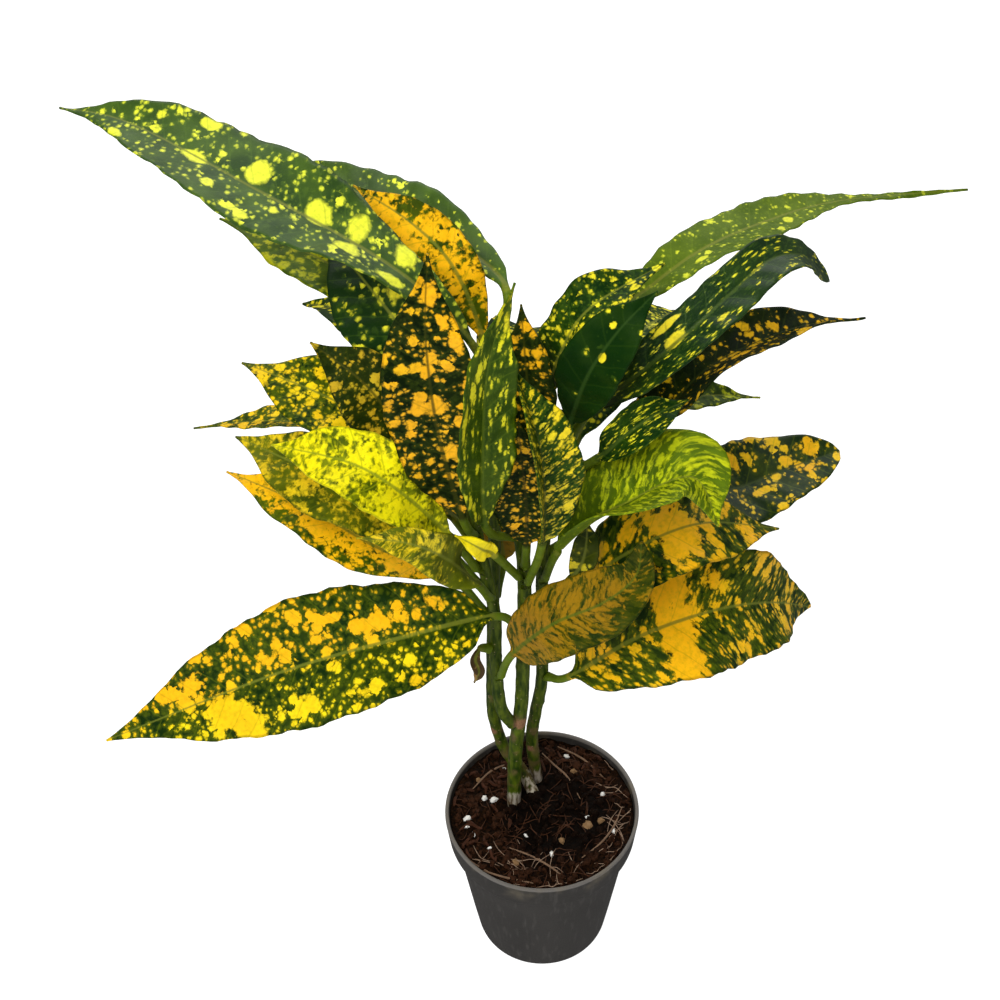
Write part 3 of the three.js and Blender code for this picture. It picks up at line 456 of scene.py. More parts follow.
def make_piece(name, shape, material, node, smooth_shade=True):
    """A mesh piece in metres that rides on the root and stands for a node of the solids."""
    mesh = new_mesh(name, *shape)
    mesh.materials.append(material)
    mesh.polygons.foreach_set("use_smooth", [smooth_shade] * len(mesh.polygons))
    mesh.validate()
    piece = new_object(name, mesh)
    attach(piece, "root")
    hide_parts(node)
    return piece


# Stems

stem_curves = {}


def stem_at(name, z):
    """Centre, direction and radius of a stem at height z."""
    points = stem_curves[name]
    low, high = STEMS[name]["radii"]
    k = max(int(np.argmax(points[:, 2] >= z)), 1)
    part = (z - points[k - 1, 2]) / (points[k, 2] - points[k - 1, 2])
    centre = points[k - 1] + (points[k] - points[k - 1]) * part
    share = (k - 1 + part) / (len(points) - 1)
    return centre, unit(points[k] - points[k - 1]), low + (high - low) * share


def foot_on(name, z, toward):
    """Where something that grows toward a point sits on its stem, and the stem's frame there."""
    centre, axis, radius = stem_at(name, z)
    out = np.asarray(toward, float) - centre
    out = unit(out - axis * (out @ axis))
    return centre + out * (radius + GAP), out, axis


def grow_stem(name, stem):
    points = list(stem["path"])
    if "from" in stem:
        points.insert(0, foot_on(stem["from"], stem["z"], points[0])[0])
    stem_curves[name] = curve_through(points, STEM_STATIONS // (len(points) - 1))


def stem_mesh(name):
    """Rings of a stem, lightly ribbed, with the low rings of its old leaf scars."""
    points = stem_curves[name]
    low, high = STEMS[name]["radii"]
    count = len(points)
    tangents = unit(np.gradient(points, axis=0))
    turn = turns(STEM_SIDES)
    rings = []
    for k in range(count):
        z = points[k, 2]
        side = unit(np.cross(tangents[k], (0, -1, 0)))
        swell = 0.05 * np.sin(3 * turn + 0.11 * z) + 0.04 * np.sin(0.9 * z + turn)
        for scar, angle in STEMS[name]["scars"]:
            near = math.exp(-((z - scar) / SCAR_REACH) ** 2)
            swell = swell + SCAR_HEIGHT * near * (0.35 + 0.65 * np.maximum(np.cos(turn - angle), 0) ** 2)
        radius = low + (high - low) * k / (count - 1)
        rings.append(round_ring(points[k], side, np.cross(side, tangents[k]), radius + swell, STEM_SIDES))
    return np.vstack(rings), tube_faces(count, STEM_SIDES)


# Leaves

def width_at(t, leaf):
    body = np.sin(np.pi * np.clip(t, 0, 1) ** (math.log(0.5) / math.log(leaf.peak)))
    return np.maximum(body, 0) ** leaf.blunt * (1 - leaf.tip * smooth(t, 0.72, 1))


def both_halves(fold):
    return fold if isinstance(fold, tuple) else (fold, fold)


def leaf_mesh(leaf, seed):
    """Points and faces of one leaf with its stalk, its flat coordinates and its shading data."""
    rng = np.random.default_rng(seed)
    sides = 2 * (LEAF_LANES + 1)
    foot, out, axis = foot_on("stem_" + leaf.stem, leaf.z, leaf.path[0])
    curve = curve_through(np.vstack([foot, leaf.path]), CURVE_STEPS)
    lengths = lengths_of(curve)
    blade = lengths[CURVE_STEPS]
    blade_length = lengths[-1] - blade
    tangents = unit(np.gradient(curve, axis=0))
    fold = both_halves(leaf.fold)
    fold_tip = both_halves(leaf.fold_tip or leaf.fold)
    face = unit(np.asarray(leaf.face, float))
    face_tip = unit(np.asarray(leaf.face_tip or leaf.face, float))

    def frame_at(where):
        centre = along(curve, lengths, where)
        tangent = unit(along(tangents, lengths, where))
        t = max((where - blade) / blade_length, 0)
        up = face + (face_tip - face) * t
        up = unit(up - tangent * (up @ tangent))
        return centre, up, unit(np.cross(tangent, up)), t

    rings, grid, data = [], [], []
    for k in range(PETIOLE_STATIONS):
        where = blade * k / PETIOLE_STATIONS
        centre, up, side, _ = frame_at(where)
        radius = PETIOLE_RADIUS + PETIOLE_FLARE * math.exp(-where / PETIOLE_FLARE_REACH)
        if k == 0:
            centre, up, side = centre - out * GAP, axis, unit(np.cross(out, axis))
        rings.append(round_ring(centre, side, up, radius, sides))
        grid.append(np.column_stack([np.zeros(sides), np.full(sides, where - blade)]))
        data.append(np.zeros((sides, 4)))

    u = 2 * np.arange(LEAF_LANES + 1) / LEAF_LANES - 1
    share = np.abs(u)
    left = u < 0
    height, count, phase = leaf.wave
    phases = rng.uniform(0, TURN, 4)
    edge_waves = list(zip(EDGE_WAVES, phases))
    cup = math.radians(LEAF_CUP)
    for k in range(LEAF_STATIONS + 1):
        t = k / LEAF_STATIONS
        reach = blade_length * t
        centre, up, side, t = frame_at(blade + reach)
        half = max(float(width_at(t, leaf)) * leaf.width * 0.5, TIP_HALF_WIDTH)
        ragged = 1 + sum(swing * math.sin(rate * reach + start) for (swing, rate), start in edge_waves)
        lift = np.where(left, fold[0] + (fold_tip[0] - fold[0]) * t, fold[1] + (fold_tip[1] - fold[1]) * t)
        lift = np.radians(lift)
        slope = lift + cup * share * 0.5
        body = math.sin(math.pi * t) ** 0.5 if 0 < t < 1 else 0
        swell = np.sin(TURN * (count * t + phase + np.where(left, 0.37, 0)))
        ripple = height * swell * share ** 1.5 * body
        crinkle = np.sin(CRINKLE_RATE * reach + phases[2] + np.where(left, 2.1, 0))
        crinkle = crinkle * CRINKLE * body * share ** 4
        veins = np.cos(TURN * (reach - VEIN_SLANT * share * half) / VEIN_SPACING)
        quilt = QUILT * body * veins * np.sin(np.pi * np.minimum(share * 1.1, 1))
        across = half * ragged * u * np.cos(slope)
        lifted = half * ragged * share * np.sin(slope) + ripple + crinkle + quilt
        tilt = np.where(left, -1, 1) * (lift + cup * share)
        groove = np.exp(-(u * half / MIDRIB_WIDTH) ** 2) * (1 - t)
        skin = LEAF_THICKNESS / 2 * (1 - 0.6 * smooth(share, 0.9, 1))
        above = skin - MIDRIB_GROOVE * groove
        below = skin + MIDRIB_DEPTH * groove
        top, bottom = (centre + np.outer(across - offset * np.sin(tilt), side)
                       + np.outer(lifted + offset * np.cos(tilt), up) for offset in (above, -below))
        ring = np.vstack([top, bottom[::-1]])
        blend = float(smooth(t, 0, STALK_BLEND))
        if blend < 1:
            stalk = round_ring(centre, side, up, PETIOLE_RADIUS, sides)
            ring = stalk + (ring - stalk) * blend
        rings.append(ring)
        patch = np.zeros(LEAF_LANES + 1)
        for spot_t, spot_u, long_half, wide_half, strength in leaf.patches:
            off = ((t - spot_t) * blade_length / long_half) ** 2
            off = off + ((u - spot_u) * max(half, 1) / wide_half) ** 2
            patch = patch + strength * np.exp(-0.7 * off)
        x, edge, patch = (np.concatenate([values, values[::-1]]) for values in (u * half, share, patch))
        grid.append(np.column_stack([x, np.full(sides, reach)]))
        under = np.repeat([0, 1], LEAF_LANES + 1)
        data.append(np.column_stack([edge * blend, under, patch, np.full(sides, t)]))
    return (np.vstack(rings), tube_faces(len(rings), sides)), np.vstack(grid), np.vstack(data)


def add_leaf_data(piece, grid, data):
    """The flat coordinates as a UV map, and the shading data as a colour."""
    mesh = piece.data
    loops = np.empty(len(mesh.loops), dtype=np.int32)
    mesh.loops.foreach_get("vertex_index", loops)
    layer = mesh.uv_layers.new(name="leaf")
    layer.data.foreach_set("uv", (grid[loops] / MAP_UNIT).astype(np.float32).ravel())
    colours = mesh.color_attributes.new(name="marks", type="FLOAT_COLOR", domain="POINT")
    colours.data.foreach_set("color", data.astype(np.float32).ravel())


# Materials

class Value:
    """A number, colour or vector in a material. Numbers can be used in sums with plain signs."""

    def __init__(self, shader, socket):
        self.shader = shader
        self.socket = socket

    def __add__(self, other):
        return self.shader.math("ADD", self, other)

    def __sub__(self, other):
        return self.shader.math("SUBTRACT", self, other)

    def __rsub__(self, other):
        return self.shader.math("SUBTRACT", other, self)

    def __mul__(self, other):
        return self.shader.math("MULTIPLY", self, other)

    def __truediv__(self, other):
        return self.shader.math("DIVIDE", self, other)

    __radd__ = __add__
    __rmul__ = __mul__


class Shader:
    """A node material that is put together in plain steps."""

    def __init__(self, name):
        self.material = bpy.data.materials.new(name)
        self.material.use_nodes = True
        self.nodes = self.material.node_tree.nodes
        self.links = self.material.node_tree.links
        self.bsdf = self.nodes["Principled BSDF"]

    def put(self, socket, value):
        if isinstance(value, Value):
            self.links.new(value.socket, socket)
        elif isinstance(value, tuple) and len(value) < len(socket.default_value):
            socket.default_value = (*value, 1)
        else:
            socket.default_value = value

    def add(self, kind, inputs, outputs=(0,), **settings):
        """A new node with its settings and inputs. Gives back the outputs that are asked for."""
        node = self.nodes.new("ShaderNode" + kind)
        for key, value in settings.items():
            setattr(node, key, value)
        for key, value in inputs.items():
            self.put(node.inputs[key], value)
        wanted = [Value(self, node.outputs[key]) for key in outputs]
        return wanted[0] if len(wanted) == 1 else wanted

    def math(self, operation, first, second=0.0, clamp=False):
        return self.add("Math", {0: first, 1: second}, operation=operation, use_clamp=clamp)

    def mix(self, share, first, second):
        return self.add("MixRGB", {0: share, 1: first, 2: second})

    def blend(self, share, first, second):
        """Number between two others."""
        return (second - first) * share + first

    def above(self, value, level, sharp):
        """0 well under the level, 1 well over it."""
        return self.math("ADD", (value - level) * sharp, 0.5, clamp=True)

    def noise(self, vector, scale, detail=2, output=0):
        inputs = {"Vector": vector, "Scale": scale, "Detail": detail}
        return self.add("TexNoise", inputs, (output,))

    def voronoi(self, vector, scale):
        inputs = {"Vector": vector, "Scale": scale}
        distance, colour = self.add("TexVoronoi", inputs, ("Distance", "Color"))
        return distance, self.parts(colour)[0]

    def parts(self, colour):
        return self.add("SeparateColor", {0: colour}, (0, 1, 2))

    def xyz(self, vector):
        return self.add("SeparateXYZ", {0: vector}, (0, 1, 2))

    def vector(self, x, y, z=0.0):
        return self.add("CombineXYZ", {0: x, 1: y, 2: z})

    def scaled(self, vector, factor, offset=(0, 0, 0)):
        inputs = {0: vector, 1: (factor, factor, factor), 2: offset}
        return self.add("VectorMath", inputs, operation="MULTIPLY_ADD")

    def upright(self, place, factor):
        """The point with its height scaled, for upright streaks."""
        return self.add("Mapping", {"Vector": place, "Scale": (1, 1, factor)})

    def position(self):
        """The point on the model, in millimetres."""
        return self.scaled(self.add("TexCoord", {}, ("Object",)), 1 / MM)

    def finish(self, colour, roughness, specular, height, distance, strength):
        """The surface's colour, roughness, specular level and bump."""
        inputs = {"Height": height, "Distance": distance * MM, "Strength": strength}
        values = {"Base Color": colour, "Roughness": roughness, "Specular IOR Level": specular,
                  "Normal": self.add("Bump", inputs)}
        for key, value in values.items():
            self.put(self.bsdf.inputs[key], value)
        return self.material


def leaf_material(leaf, number):
    """Waxy leaf with deep green, spots in two sizes, golden areas with green flecks, and veins."""
    s = Shader("leaf_" + leaf.name + "_look")
    deep, mid, bright, warm = TONES[leaf.tone]
    offset = SEED_STEP * number
    place = s.scaled(s.add("UVMap", {}, uv_map="leaf"), MAP_UNIT, (0, 0, offset))
    x, y, _ = s.xyz(place)
    colours, t = s.add("VertexColor", {}, ("Color", "Alpha"), layer_name="marks")
    edge, under, patch = s.parts(colours)
    away = s.math("ABSOLUTE", x)
    size, soft, stretch = leaf.size, leaf.soft, leaf.stretch

    # Coordinates shaken a little, so that no mark has a clean outline. Long marks lean along the side
    # veins, or lie along the blade where the stretch is under 1.
    lean = 0.9 * float(smooth(stretch, 1.2, 2))
    flat = s.vector(x * (1 / stretch), (y - away * lean) * min(stretch, 1), offset)
    shake = s.noise(place, 0.3, 3, "Color")
    shiver = s.noise(place, 1.1, 3, "Color")
    spots_at = s.scaled(shiver, 1.5, s.scaled(shake, 2.6, flat))
    fine_at = s.scaled(shiver, 0.9, s.scaled(shake, 1, flat))
    crowd = (s.noise(place, 0.1 / size) - 0.5) * (1.2 if leaf.even else 3.6) + 0.8
    crowd = crowd + s.math("MINIMUM", patch, 0)
    crowd = s.math("MINIMUM", s.math("MAXIMUM", crowd, 0.1), 1.5)

    def layer(vector, cell, amount, reach, packed):
        """Marks of about one size: the mask, and a wider one for the pale ring around them."""
        distance, chance = s.voronoi(vector, 1 / cell)
        chance = (chance - (1 - amount)) / amount
        present = s.above(chance, 0, 40)
        grown = chance * chance * 0.65 + 0.35
        radius = grown * s.blend(packed, 1, crowd) * reach
        radius = present * (radius + 0.3) - 0.3
        halo = s.above(radius, distance - (0.5 / cell + 0.04), 2.2 * cell ** 0.5)
        return s.above(radius, distance, 2.4 * cell / soft), halo

    layers = []
    if leaf.spot:
        layers.append(layer(spots_at, 4 * size, leaf.spot, 0.72, 1))
    if leaf.speck:
        layers.append(layer(fine_at, 1.7 * size, leaf.speck, 0.5, 0.4))
    marks, rings = layers.pop() if layers else (0, 0)
    for other, other_rings in layers:
        marks = s.math("MAXIMUM", marks, other)
        rings = s.math("MAXIMUM", rings, other_rings)

    # Golden areas with green flecks left in them, or broken into rows between the side veins.
    rough = (s.noise(place, 0.16, 5) - 0.5) * 1.6
    lobes = (s.noise(spots_at, 0.42) - 0.5) * 1.5
    gold = (rough + lobes) * leaf.ragged + (leaf.gold - 0.5)
    area = s.above(gold + patch * 0.85, 0, 7 / soft)
    islands = s.noise(fine_at, 0.72 / size) + s.noise(place, 0.13) * 0.9
    flecks = s.above(islands, 1.35 - 0.45 * leaf.fleck, 7 / soft)
    yellow = (1 - flecks - marks) * area + marks
    row = y - away * VEIN_SLANT + s.noise(place, 0.2, 1) * 1.5
    if leaf.rows:
        long_at = s.scaled(shiver, 0.8, s.scaled(shake, 1.6, s.vector(x * 0.5, row, offset)))
        yellow = yellow * s.above(s.noise(long_at, 0.8), 0.62 - 0.24 * leaf.rows, 6)

    pale = s.above(s.noise(place, 0.11, 3), 0.62 - 0.2 * leaf.pale, 3)
    green = s.mix(pale * (0.25 + 0.5 * leaf.pale), deep, mid)
    if leaf.spot or leaf.speck:
        green = s.mix(rings * leaf.ring, green, mid)
    flank = (s.above(x, 0, 0.12) - 0.5) * leaf.flank
    warmth = s.noise(place, 0.09) + (leaf.warm - 0.5) + patch * 0.3
    spot_colour = s.mix(s.math("ADD", warmth, flank, clamp=True), bright, warm)
    spot_colour = s.mix(s.above(s.noise(place, 0.8, 3), 0.6, 3) * 0.35, spot_colour, mid)
    colour = s.mix(yellow, green, spot_colour)

    # Side veins, the midrib and the thin margin.
    wave = s.math("PINGPONG", row / (VEIN_SPACING / 2), 1)
    colour = s.mix(s.above(wave, 0.93, 14) * leaf.vein, colour, mid)
    rib = s.above((1 - t) * 0.55 + 0.12, away, 2.5)
    colour = s.mix(rib * 0.8, colour, leaf.rib)
    colour = s.mix(s.above(edge, 0.955, 30) * 0.35, colour, mid if leaf.pale_margin else deep)

    # The underside is paler and duller, and the stalk is plain green.
    colour = s.mix(under * 0.75, colour, s.mix(0.45, colour, mid))
    stalk_green = s.mix(s.noise(place, 0.4, 3), (0.05, 0.09, 0.002), (0.13, 0.18, 0.008))
    colour = s.mix(s.above(0, y, 0.6), colour, stalk_green)
    gloss = s.blend(s.noise(place, 0.25, 3), 0.34, 0.56 - 0.1 * leaf.sheen)
    grain = wave * -0.6 + s.noise(place, 2.2, 3) * 0.5
    return s.finish(colour, s.blend(under, gloss, 0.6), 0.14 + 0.5 * leaf.sheen, grain, 0.25, 0.5)


def stem_material():
    """Green bark, corky and brown low down, torn in places and chalky at the foot."""
    s = Shader("stem_bark")
    place = s.position()
    z = s.xyz(place)[2]
    streaks = s.noise(s.upright(place, 0.25), 0.9, 4)
    green = s.mix(s.above(streaks, 0.5, 3), (0.012, 0.030, 0.001), (0.075, 0.105, 0.003))
    brown = s.mix(s.noise(place, 0.9, 3), (0.05, 0.032, 0.008), (0.16, 0.11, 0.045))
    corky = s.above(s.noise(place, 0.22, 3) + z * -0.0035, 0.31, 7)
    colour = s.mix(corky * 0.75, green, brown)
    pits, chance = s.voronoi(place, 0.7)
    lenticel = s.above(0.16, pits, 12) * s.above(chance, 0.55, 8)
    colour = s.mix(lenticel * 0.7, colour, (0.30, 0.24, 0.12))
    chalk = s.mix(s.above(streaks, 0.52, 5), (0.09, 0.055, 0.03), (0.42, 0.37, 0.30))
    colour = s.mix(s.above(streaks * 15 + 52.5, z, 0.4) * 0.85, colour, chalk)
    for spot, reach in BARK_TEARS:
        shaken = s.scaled(s.noise(place, 0.5, 3, "Color"), 2, place)
        middle = tuple(value + 1 for value in spot)
        away = s.add("VectorMath", {0: shaken, 1: middle}, ("Value",), operation="DISTANCE")
        bare = s.mix(s.noise(place, 1.5, 3), (0.05, 0.02, 0.006), (0.34, 0.18, 0.09))
        colour = s.mix(s.above(reach, away, 1.2), colour, bare)
    return s.finish(colour, s.blend(streaks, 0.45, 0.7), 0.2, streaks + lenticel * 0.8, 0.3, 0.6)


def pot_material():
    """Recycled dark grey plastic, matt, with faint scuffs and a little dried soil on the rim."""
    s = Shader("pot_plastic")
    place = s.position()
    z = s.xyz(place)[2]
    cloud = s.noise(place, 0.05, 4)
    colour = s.mix(cloud, (0.020, 0.018, 0.016), (0.036, 0.033, 0.030))
    scuff = s.above(s.noise(s.upright(place, 0.12), 0.7, 4), 0.66, 5)
    colour = s.mix(scuff * 0.25, colour, (0.12, 0.11, 0.10))
    colour = s.mix(s.above(z, POT_HEIGHT - 0.7, 3) * 0.55, colour, (0.19, 0.175, 0.16))
    dust = s.above(s.noise(place, 0.12, 5), 0.6, 6) * s.above(z, POT_HEIGHT - 6, 0.25)
    colour = s.mix(dust * 0.4, colour, (0.16, 0.13, 0.08))
    return s.finish(colour, s.blend(cloud, 0.5, 0.68), 0.5, s.noise(place, 1.6, 4), 0.12, 0.35)


def soil_material(name, dark, light, amount):
    """Dark crumbly soil with lighter flecks, nearly black in the middle, where it is partly wet and partly
    painted shade under the leaves.
    """
    s = Shader(name)
    place = s.position()
    colour = s.mix(s.above(s.noise(place, 1.3, 5), 0.62 - 0.2 * amount, 4), dark, light)
    x, y, _ = s.xyz(s.scaled(place, 1, (-WET_AND_SHADED_PLACE[0], -WET_AND_SHADED_PLACE[1], 0)))
    away = s.add("VectorMath", {0: s.vector(x, y)}, ("Value",), operation="LENGTH")
    # Nearly black in the middle: partly wet soil, partly painted shade cast by the leaves.
    wet_and_shade = 1 - s.above(away + s.noise(place, 0.12, 3) * 14, WET_AND_SHADED_REACH, 0.16)
    colour = s.mix(wet_and_shade * 0.85, colour, (0.0015, 0.001, 0.0008))
    grey = s.above(s.noise(place, 3.1, 3), 0.7, 8)
    colour = s.mix(grey * (0.35 * amount), colour, (0.12, 0.09, 0.06))
    return s.finish(colour, 0.9, 0.2, s.noise(place, 2.4, 5), 0.5, 0.8)


def plain_material(name, dark, light, scale, roughness):
    s = Shader(name)
    place = s.position()
    colour = s.mix(s.noise(place, scale, 4), dark, light)
    return s.finish(colour, roughness, 0.5, s.noise(place, scale * 3, 3), 0.2, 0.6)


# Pot

def pot_mesh():
    """The pot's wall, turned from its outline: up the outside, over the rim and down the inside."""
    wall_top = RIM_RADIUS - COLLAR_TAPER - COLLAR_STEP
    lean = wall_top - BASE_RADIUS
    lip = RIM_RADIUS - WALL

    def inside(z):
        return BASE_RADIUS + lean * z / COLLAR_FOOT - WALL

    base = [(1, 0), (BASE_RADIUS - 1.2, 0), (BASE_RADIUS - 0.5, 0.15), (BASE_RADIUS - 0.1, 0.6),
            (BASE_RADIUS + 0.05, 1.2)]
    wall = [(BASE_RADIUS + lean * share, COLLAR_FOOT * share) for share in (0.25, 0.5, 0.75)]
    step = [(wall_top - 0.05, -0.6), (wall_top + 0.15, 0), (RIM_RADIUS - 1.3, 0.05), (RIM_RADIUS - 1, 0.3),
            (RIM_RADIUS - 0.88, 0.9), (RIM_RADIUS - 0.45, 5)]
    rim = [(RIM_RADIUS - 0.08, 1.2), (RIM_RADIUS, 0.6), (RIM_RADIUS - 0.1, 0.15), (RIM_RADIUS - 0.4, 0),
           (lip + 0.2, 0), (lip, 0.2), (lip - 0.15, 1)]
    inner = [(lip - 0.6, COLLAR_FOOT + 1.5), (inside(COLLAR_FOOT - 1), COLLAR_FOOT - 1),
             (inside(WALL + 1), WALL + 1), (inside(WALL) - 1, WALL), (1, WALL)]
    profile = (base + wall + [(radius, COLLAR_FOOT + rise) for radius, rise in step]
               + [(radius, POT_HEIGHT - drop) for radius, drop in rim] + inner)
    rings = [level_ring(turns(POT_SIDES), radius, z) for radius, z in profile]
    return np.vstack(rings), tube_faces(len(rings), POT_SIDES)


def drill_drains(piece):
    """Cuts the round drain holes through the pot's floor."""
    holes = []
    for k in range(DRAIN["count"]):
        angle = (k + 0.5) * TURN / DRAIN["count"]
        middle = (DRAIN["ring"] * math.cos(angle), DRAIN["ring"] * math.sin(angle), 0)
        ends = [level_ring(turns(DRAIN["sides"]), DRAIN["radius"], z) + middle for z in (-WALL, 2 * WALL)]
        holes.append((np.vstack(ends), tube_faces(2, DRAIN["sides"])))
    drill = new_object("drill", new_mesh("drill", *joined(holes)))
    cut = piece.modifiers.new("drains", "BOOLEAN")
    cut.operation = "DIFFERENCE"
    cut.object = drill
    bpy.context.view_layer.update()
    drilled = piece.evaluated_get(bpy.context.evaluated_depsgraph_get())
    piece.data = bpy.data.meshes.new_from_object(drilled)
    piece.modifiers.clear()
    bpy.data.objects.remove(drill)


# Soil

class Rough:
    """Repeatable smooth noise over the plane, from a table of seeded values."""

    SIZE = 64

    def __init__(self, seed):
        self.table = np.random.default_rng(seed).uniform(-1, 1, (self.SIZE, self.SIZE))

    def at(self, x, y, size):
        x = np.asarray(x) / size + 200.37
        y = np.asarray(y) / size + 200.71
        column, row = np.floor(x).astype(int), np.floor(y).astype(int)
        across, up = smooth(x - column, 0, 1), smooth(y - row, 0, 1)
        value = 0
        for dx in (0, 1):
            for dy in (0, 1):
                weight = (across if dx else 1 - across) * (up if dy else 1 - up)
                value = value + weight * self.table[(column + dx) % self.SIZE, (row + dy) % self.SIZE]
        return value


lumps = Rough(5)


def soil_surface(x, y):
    """Height of the soil, with the solid's broad lumps and finer ones."""
    broad = np.sin(x * 0.31 + 1.7) * np.cos(y * 0.27) + 0.6 * np.sin(x * 0.63 - y * 0.52)
    reach = np.hypot(x, y) / RIM_RADIUS
    level = SOIL_TOP + LUMP_HEIGHT * broad * (1 - reach * reach) - SOIL_EDGE_DROP * reach ** 4
    return level + 0.55 * lumps.at(x, y, 3.1) + 0.4 * lumps.at(y, x, 1.5) + 0.25 * lumps.at(x, -y, 0.8)


def soil_mesh():
    collar_radius = RIM_RADIUS - COLLAR_WALL - GAP
    angle = turns(SOIL_SIDES)
    sides = ((BASE_RADIUS - WALL - 0.4, WALL + GAP), (SOIL_SHOULDER, COLLAR_FOOT - 2),
             (collar_radius, COLLAR_FOOT + 2))
    rings = [level_ring(angle, radius, z) for radius, z in sides]
    for k in range(SOIL_RINGS):
        radius = (collar_radius + SOIL_FLARE) * (1 - k / SOIL_RINGS)
        ring = level_ring(angle, radius, 0)
        ring[:, 2] = soil_surface(ring[:, 0], ring[:, 1])
        rings.append(ring)
    return np.vstack(rings), tube_faces(len(rings), SOIL_SIDES)


def crumb(rng, size):
    """A small broken lump: the points and faces of a shaken block with cut corners."""
    golden = (1 + 5 ** 0.5) / 2
    corners = [(x, y * golden, 0) for y in (1, -1) for x in (-1, 1)]
    points = np.vstack([np.roll(corners, shift, axis=1) for shift in range(3)]) / 1.9
    faces = [(0, 11, 5), (0, 5, 1), (0, 1, 7), (0, 7, 10), (0, 10, 11), (1, 5, 9), (5, 11, 4), (11, 10, 2),
             (10, 7, 6), (7, 1, 8), (3, 9, 4), (3, 4, 2), (3, 2, 6), (3, 6, 8), (3, 8, 9), (4, 9, 5),
             (2, 4, 11), (6, 2, 10), (8, 6, 7), (9, 8, 1)]
    points = points * rng.uniform(0.72, 1.25, (12, 1)) * size * rng.uniform(0.6, 1.3, 3)
    turn = rng.uniform(0, TURN, 2)
    cos, sin = np.cos(turn), np.sin(turn)
    about_z = np.array([[cos[0], -sin[0], 0], [sin[0], cos[0], 0], [0, 0, 1]])
    about_x = np.array([[1, 0, 0], [0, cos[1], -sin[1]], [0, sin[1], cos[1]]])
    return points @ about_x.T @ about_z.T, faces


def scatter(places, size_range, seed, sink=0.25):
    """Many crumbs joined in one mesh, each sunk in the soil by that share."""
    rng = np.random.default_rng(seed)
    crumbs = []
    for x, y in places:
        size = rng.uniform(*size_range)
        points, faces = crumb(rng, size)
        crumbs.append((points + (x, y, soil_surface(x, y) + size * (0.5 - sink)), faces))
    return joined(crumbs)


def strand_mesh(strands, radius, sides, steps):
    """Fibres and roots joined in one mesh: each strand is a list of points that it passes."""
    tubes = []
    for strand in strands:
        curve = curve_through(strand, steps)
        rings = []
        for k, (centre, tangent) in enumerate(zip(curve, unit(np.gradient(curve, axis=0)))):
            side = unit(np.cross(tangent, (0.13, 0.08, 0.99)))
            thin = 1 - 0.55 * abs(2 * k / (len(curve) - 1) - 1) ** 2
            rings.append(round_ring(centre, side, np.cross(side, tangent), radius * thin, sides))
        tubes.append((np.vstack(rings), tube_faces(len(rings), sides)))
    return joined(tubes)


def random_places(count, seed, reach):
    rng = np.random.default_rng(seed)
    angle = rng.uniform(0, TURN, count)
    radius = reach * np.sqrt(rng.uniform(0, 1, count))
    return np.column_stack([radius * np.cos(angle), radius * np.sin(angle)])


def random_strands(count, seed, reach, length, rise):
    """Short bent strands that lie on the soil inside the pot."""
    rng = np.random.default_rng(seed)
    strands = []
    for x, y in random_places(count, seed + 1, reach):
        turn = rng.uniform(0, TURN)
        bend = rng.uniform(-0.8, 0.8)
        step = rng.uniform(*length) / 5
        strand = []
        for k in range(5):
            x += step * math.cos(turn + bend * k / 2)
            y += step * math.sin(turn + bend * k / 2)
            over = max(math.hypot(x, y) / LITTER_REACH, 1)
            x, y = x / over, y / over
            strand.append((x, y, float(soil_surface(x, y)) + 0.15 + rise * rng.uniform(0, 1)))
        strands.append(strand)
    return strands


def lay(path):
    """A root that touches the soil at its ends and lies 1 mm over it between them."""
    return [(x, y, float(soil_surface(x, y)) + (1 if 0 < k < len(path) - 1 else 0.2))
            for k, (x, y) in enumerate(path)]


def add_litter(name, shape, look, smooth_shade=True):
    make_piece("soil_" + name, shape, look, "soil", smooth_shade)


# Make the pieces

camera_data = bpy.data.cameras.new("camera")
camera_data.sensor_width = SENSOR
camera_data.lens = FOCAL_PIXELS * SENSOR / FRAME_PIXELS
camera_data.shift_x = -(CENTRE_PIXEL - FRAME_PIXELS / 2) / FRAME_PIXELS
camera_data.clip_start = 0.01
camera = new_object("camera", camera_data)
camera.location = [value * MM for value in CAMERA]
camera.rotation_euler = (math.radians(90 - PITCH_DOWN), 0, 0)
bpy.context.scene.camera = camera

drill_drains(make_piece("pot_shell", pot_mesh(), pot_material(), "pot"))

add_litter("plug", soil_mesh(),
           soil_material("soil_coir", (0.002, 0.001, 0.0008), (0.016, 0.006, 0.002), 0.5))
add_litter("crumbs", scatter(random_places(460, 11, LITTER_REACH), (0.5, 1.5), 12),
           soil_material("soil_crumbs", (0.003, 0.0015, 0.001), (0.034, 0.013, 0.006), 1), False)
add_litter("grit", scatter(GRIT, (0.7, 1.2), 14, 0.05),
           plain_material("perlite", (0.55, 0.54, 0.50), (0.85, 0.84, 0.80), 1.2, 0.85), False)
add_litter("bark", scatter(BARK_BITS, (0.9, 1.6), 15),
           plain_material("bark_bits", (0.10, 0.05, 0.02), (0.28, 0.17, 0.08), 0.9, 0.8), False)
add_litter("fibres", strand_mesh(random_strands(170, 21, 26, (4, 13), 0.7), 0.16, 5, 3),
           plain_material("coir_fibres", (0.012, 0.004, 0.002), (0.075, 0.028, 0.012), 0.6, 0.7))
add_litter("roots", strand_mesh([lay(path) for path in ROOTS], 0.34, 7, 10),
           plain_material("loose_roots", (0.06, 0.03, 0.018), (0.24, 0.15, 0.09), 0.5, 0.7))

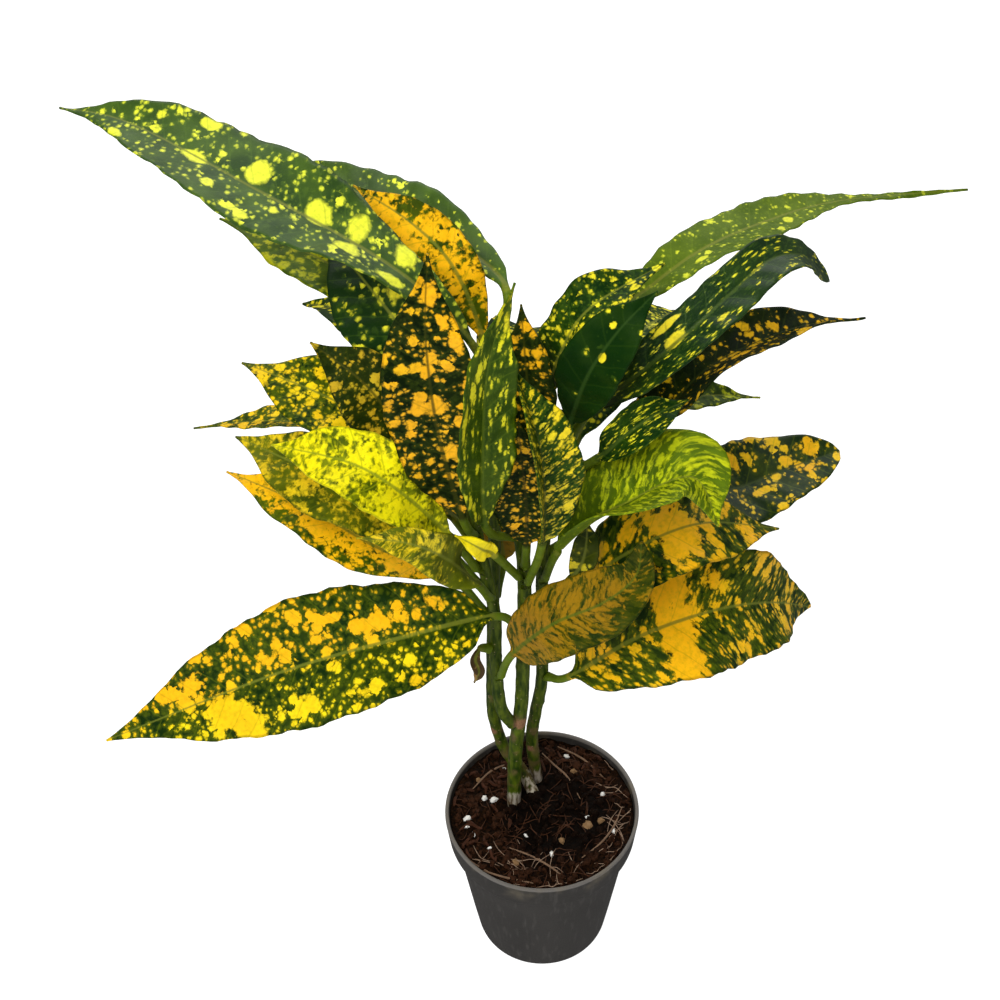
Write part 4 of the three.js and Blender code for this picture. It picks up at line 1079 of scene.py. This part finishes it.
# Fine roots lie at the front and right, and coir chips at the left, the back and the front edge.
strands = random_strands(200, 33, LITTER_REACH, (5, 16), 1.1)
strands = [strand for strand in strands if strand[2][1] < -14 or strand[2][0] > 20]
add_litter("fine_roots", strand_mesh(strands, 0.13, 5, 4),
           plain_material("fine_roots", (0.10, 0.055, 0.035), (0.36, 0.25, 0.17), 0.5, 0.7))
strands = random_strands(90, 35, LITTER_REACH, (3, 7), 0.8)
strands = [strand for strand in strands if strand[2][0] < -8 or strand[2][1] > 12 or strand[2][1] < -19]
add_litter("chips", strand_mesh(strands, 0.55, 5, 2),
           plain_material("coir_chips", (0.010, 0.004, 0.002), (0.075, 0.026, 0.013), 0.7, 0.85), False)

for name, stem in STEMS.items():
    grow_stem(name, stem)
stem_look = stem_material()
for name in STEMS:
    make_piece(name + "_bark", stem_mesh(name), stem_look, name)

for number, leaf in enumerate(LEAVES):
    name = "leaf_" + leaf.name
    shape, grid, data = leaf_mesh(leaf, 100 + number)
    piece = make_piece(name + "_blade", shape, leaf_material(leaf, number + 1), name)
    add_leaf_data(piece, grid, data)

# Floor, light and background, in metres

REACH = 40.0
FLOOR_DROP = 0.0002
AIM = (0, 0, 0.15)
floor_mesh = bpy.data.meshes.new("floor")
corners = [(-REACH, -REACH, 0), (REACH, -REACH, 0), (REACH, REACH, 0), (-REACH, REACH, 0)]
floor_mesh.from_pydata(corners, [], [(0, 1, 2, 3)])
floor = new_object("floor", floor_mesh)
floor.location.z = -FLOOR_DROP
floor_look = Shader("floor_white")
for key, value in {"Base Color": (0.3, 0.3, 0.3), "Roughness": 0.9, "Specular IOR Level": 0,
                   "Emission Color": (1, 1, 1), "Emission Strength": 0.95}.items():
    floor_look.put(floor_look.bsdf.inputs[key], value)
floor_mesh.materials.append(floor_look.material)
floor.visible_glossy = False

world = bpy.data.worlds.new("studio")
bpy.context.scene.world = world
world.use_nodes = True
background = world.node_tree.nodes["Background"].inputs
background["Color"].default_value = (1, 1, 1, 1)
background["Strength"].default_value = 0.16


def add_light(name, place, size, power, glossy):
    light = bpy.data.lights.new(name, "AREA")
    light.shape = "SQUARE"
    light.size = size
    light.energy = power
    lamp = new_object(name, light)
    lamp.location = place
    x, y, z = np.asarray(AIM, float) - np.asarray(place, float)
    lamp.rotation_euler = (math.atan2(math.hypot(x, y), -z), 0, math.atan2(y, x) - math.pi / 2)
    lamp.visible_glossy = glossy


add_light("ceiling", (0.1, 0.9, 1.2), 1.7, 10, True)
add_light("window", (-0.35, -0.75, 1.25), 0.9, 24, False)
add_light("behind", (0.3, 1.3, 0.55), 1.0, 8, False)

view = bpy.context.scene.view_settings
view.view_transform = "Standard"
view.look = "None"
view.exposure = 0
view.gamma = 1
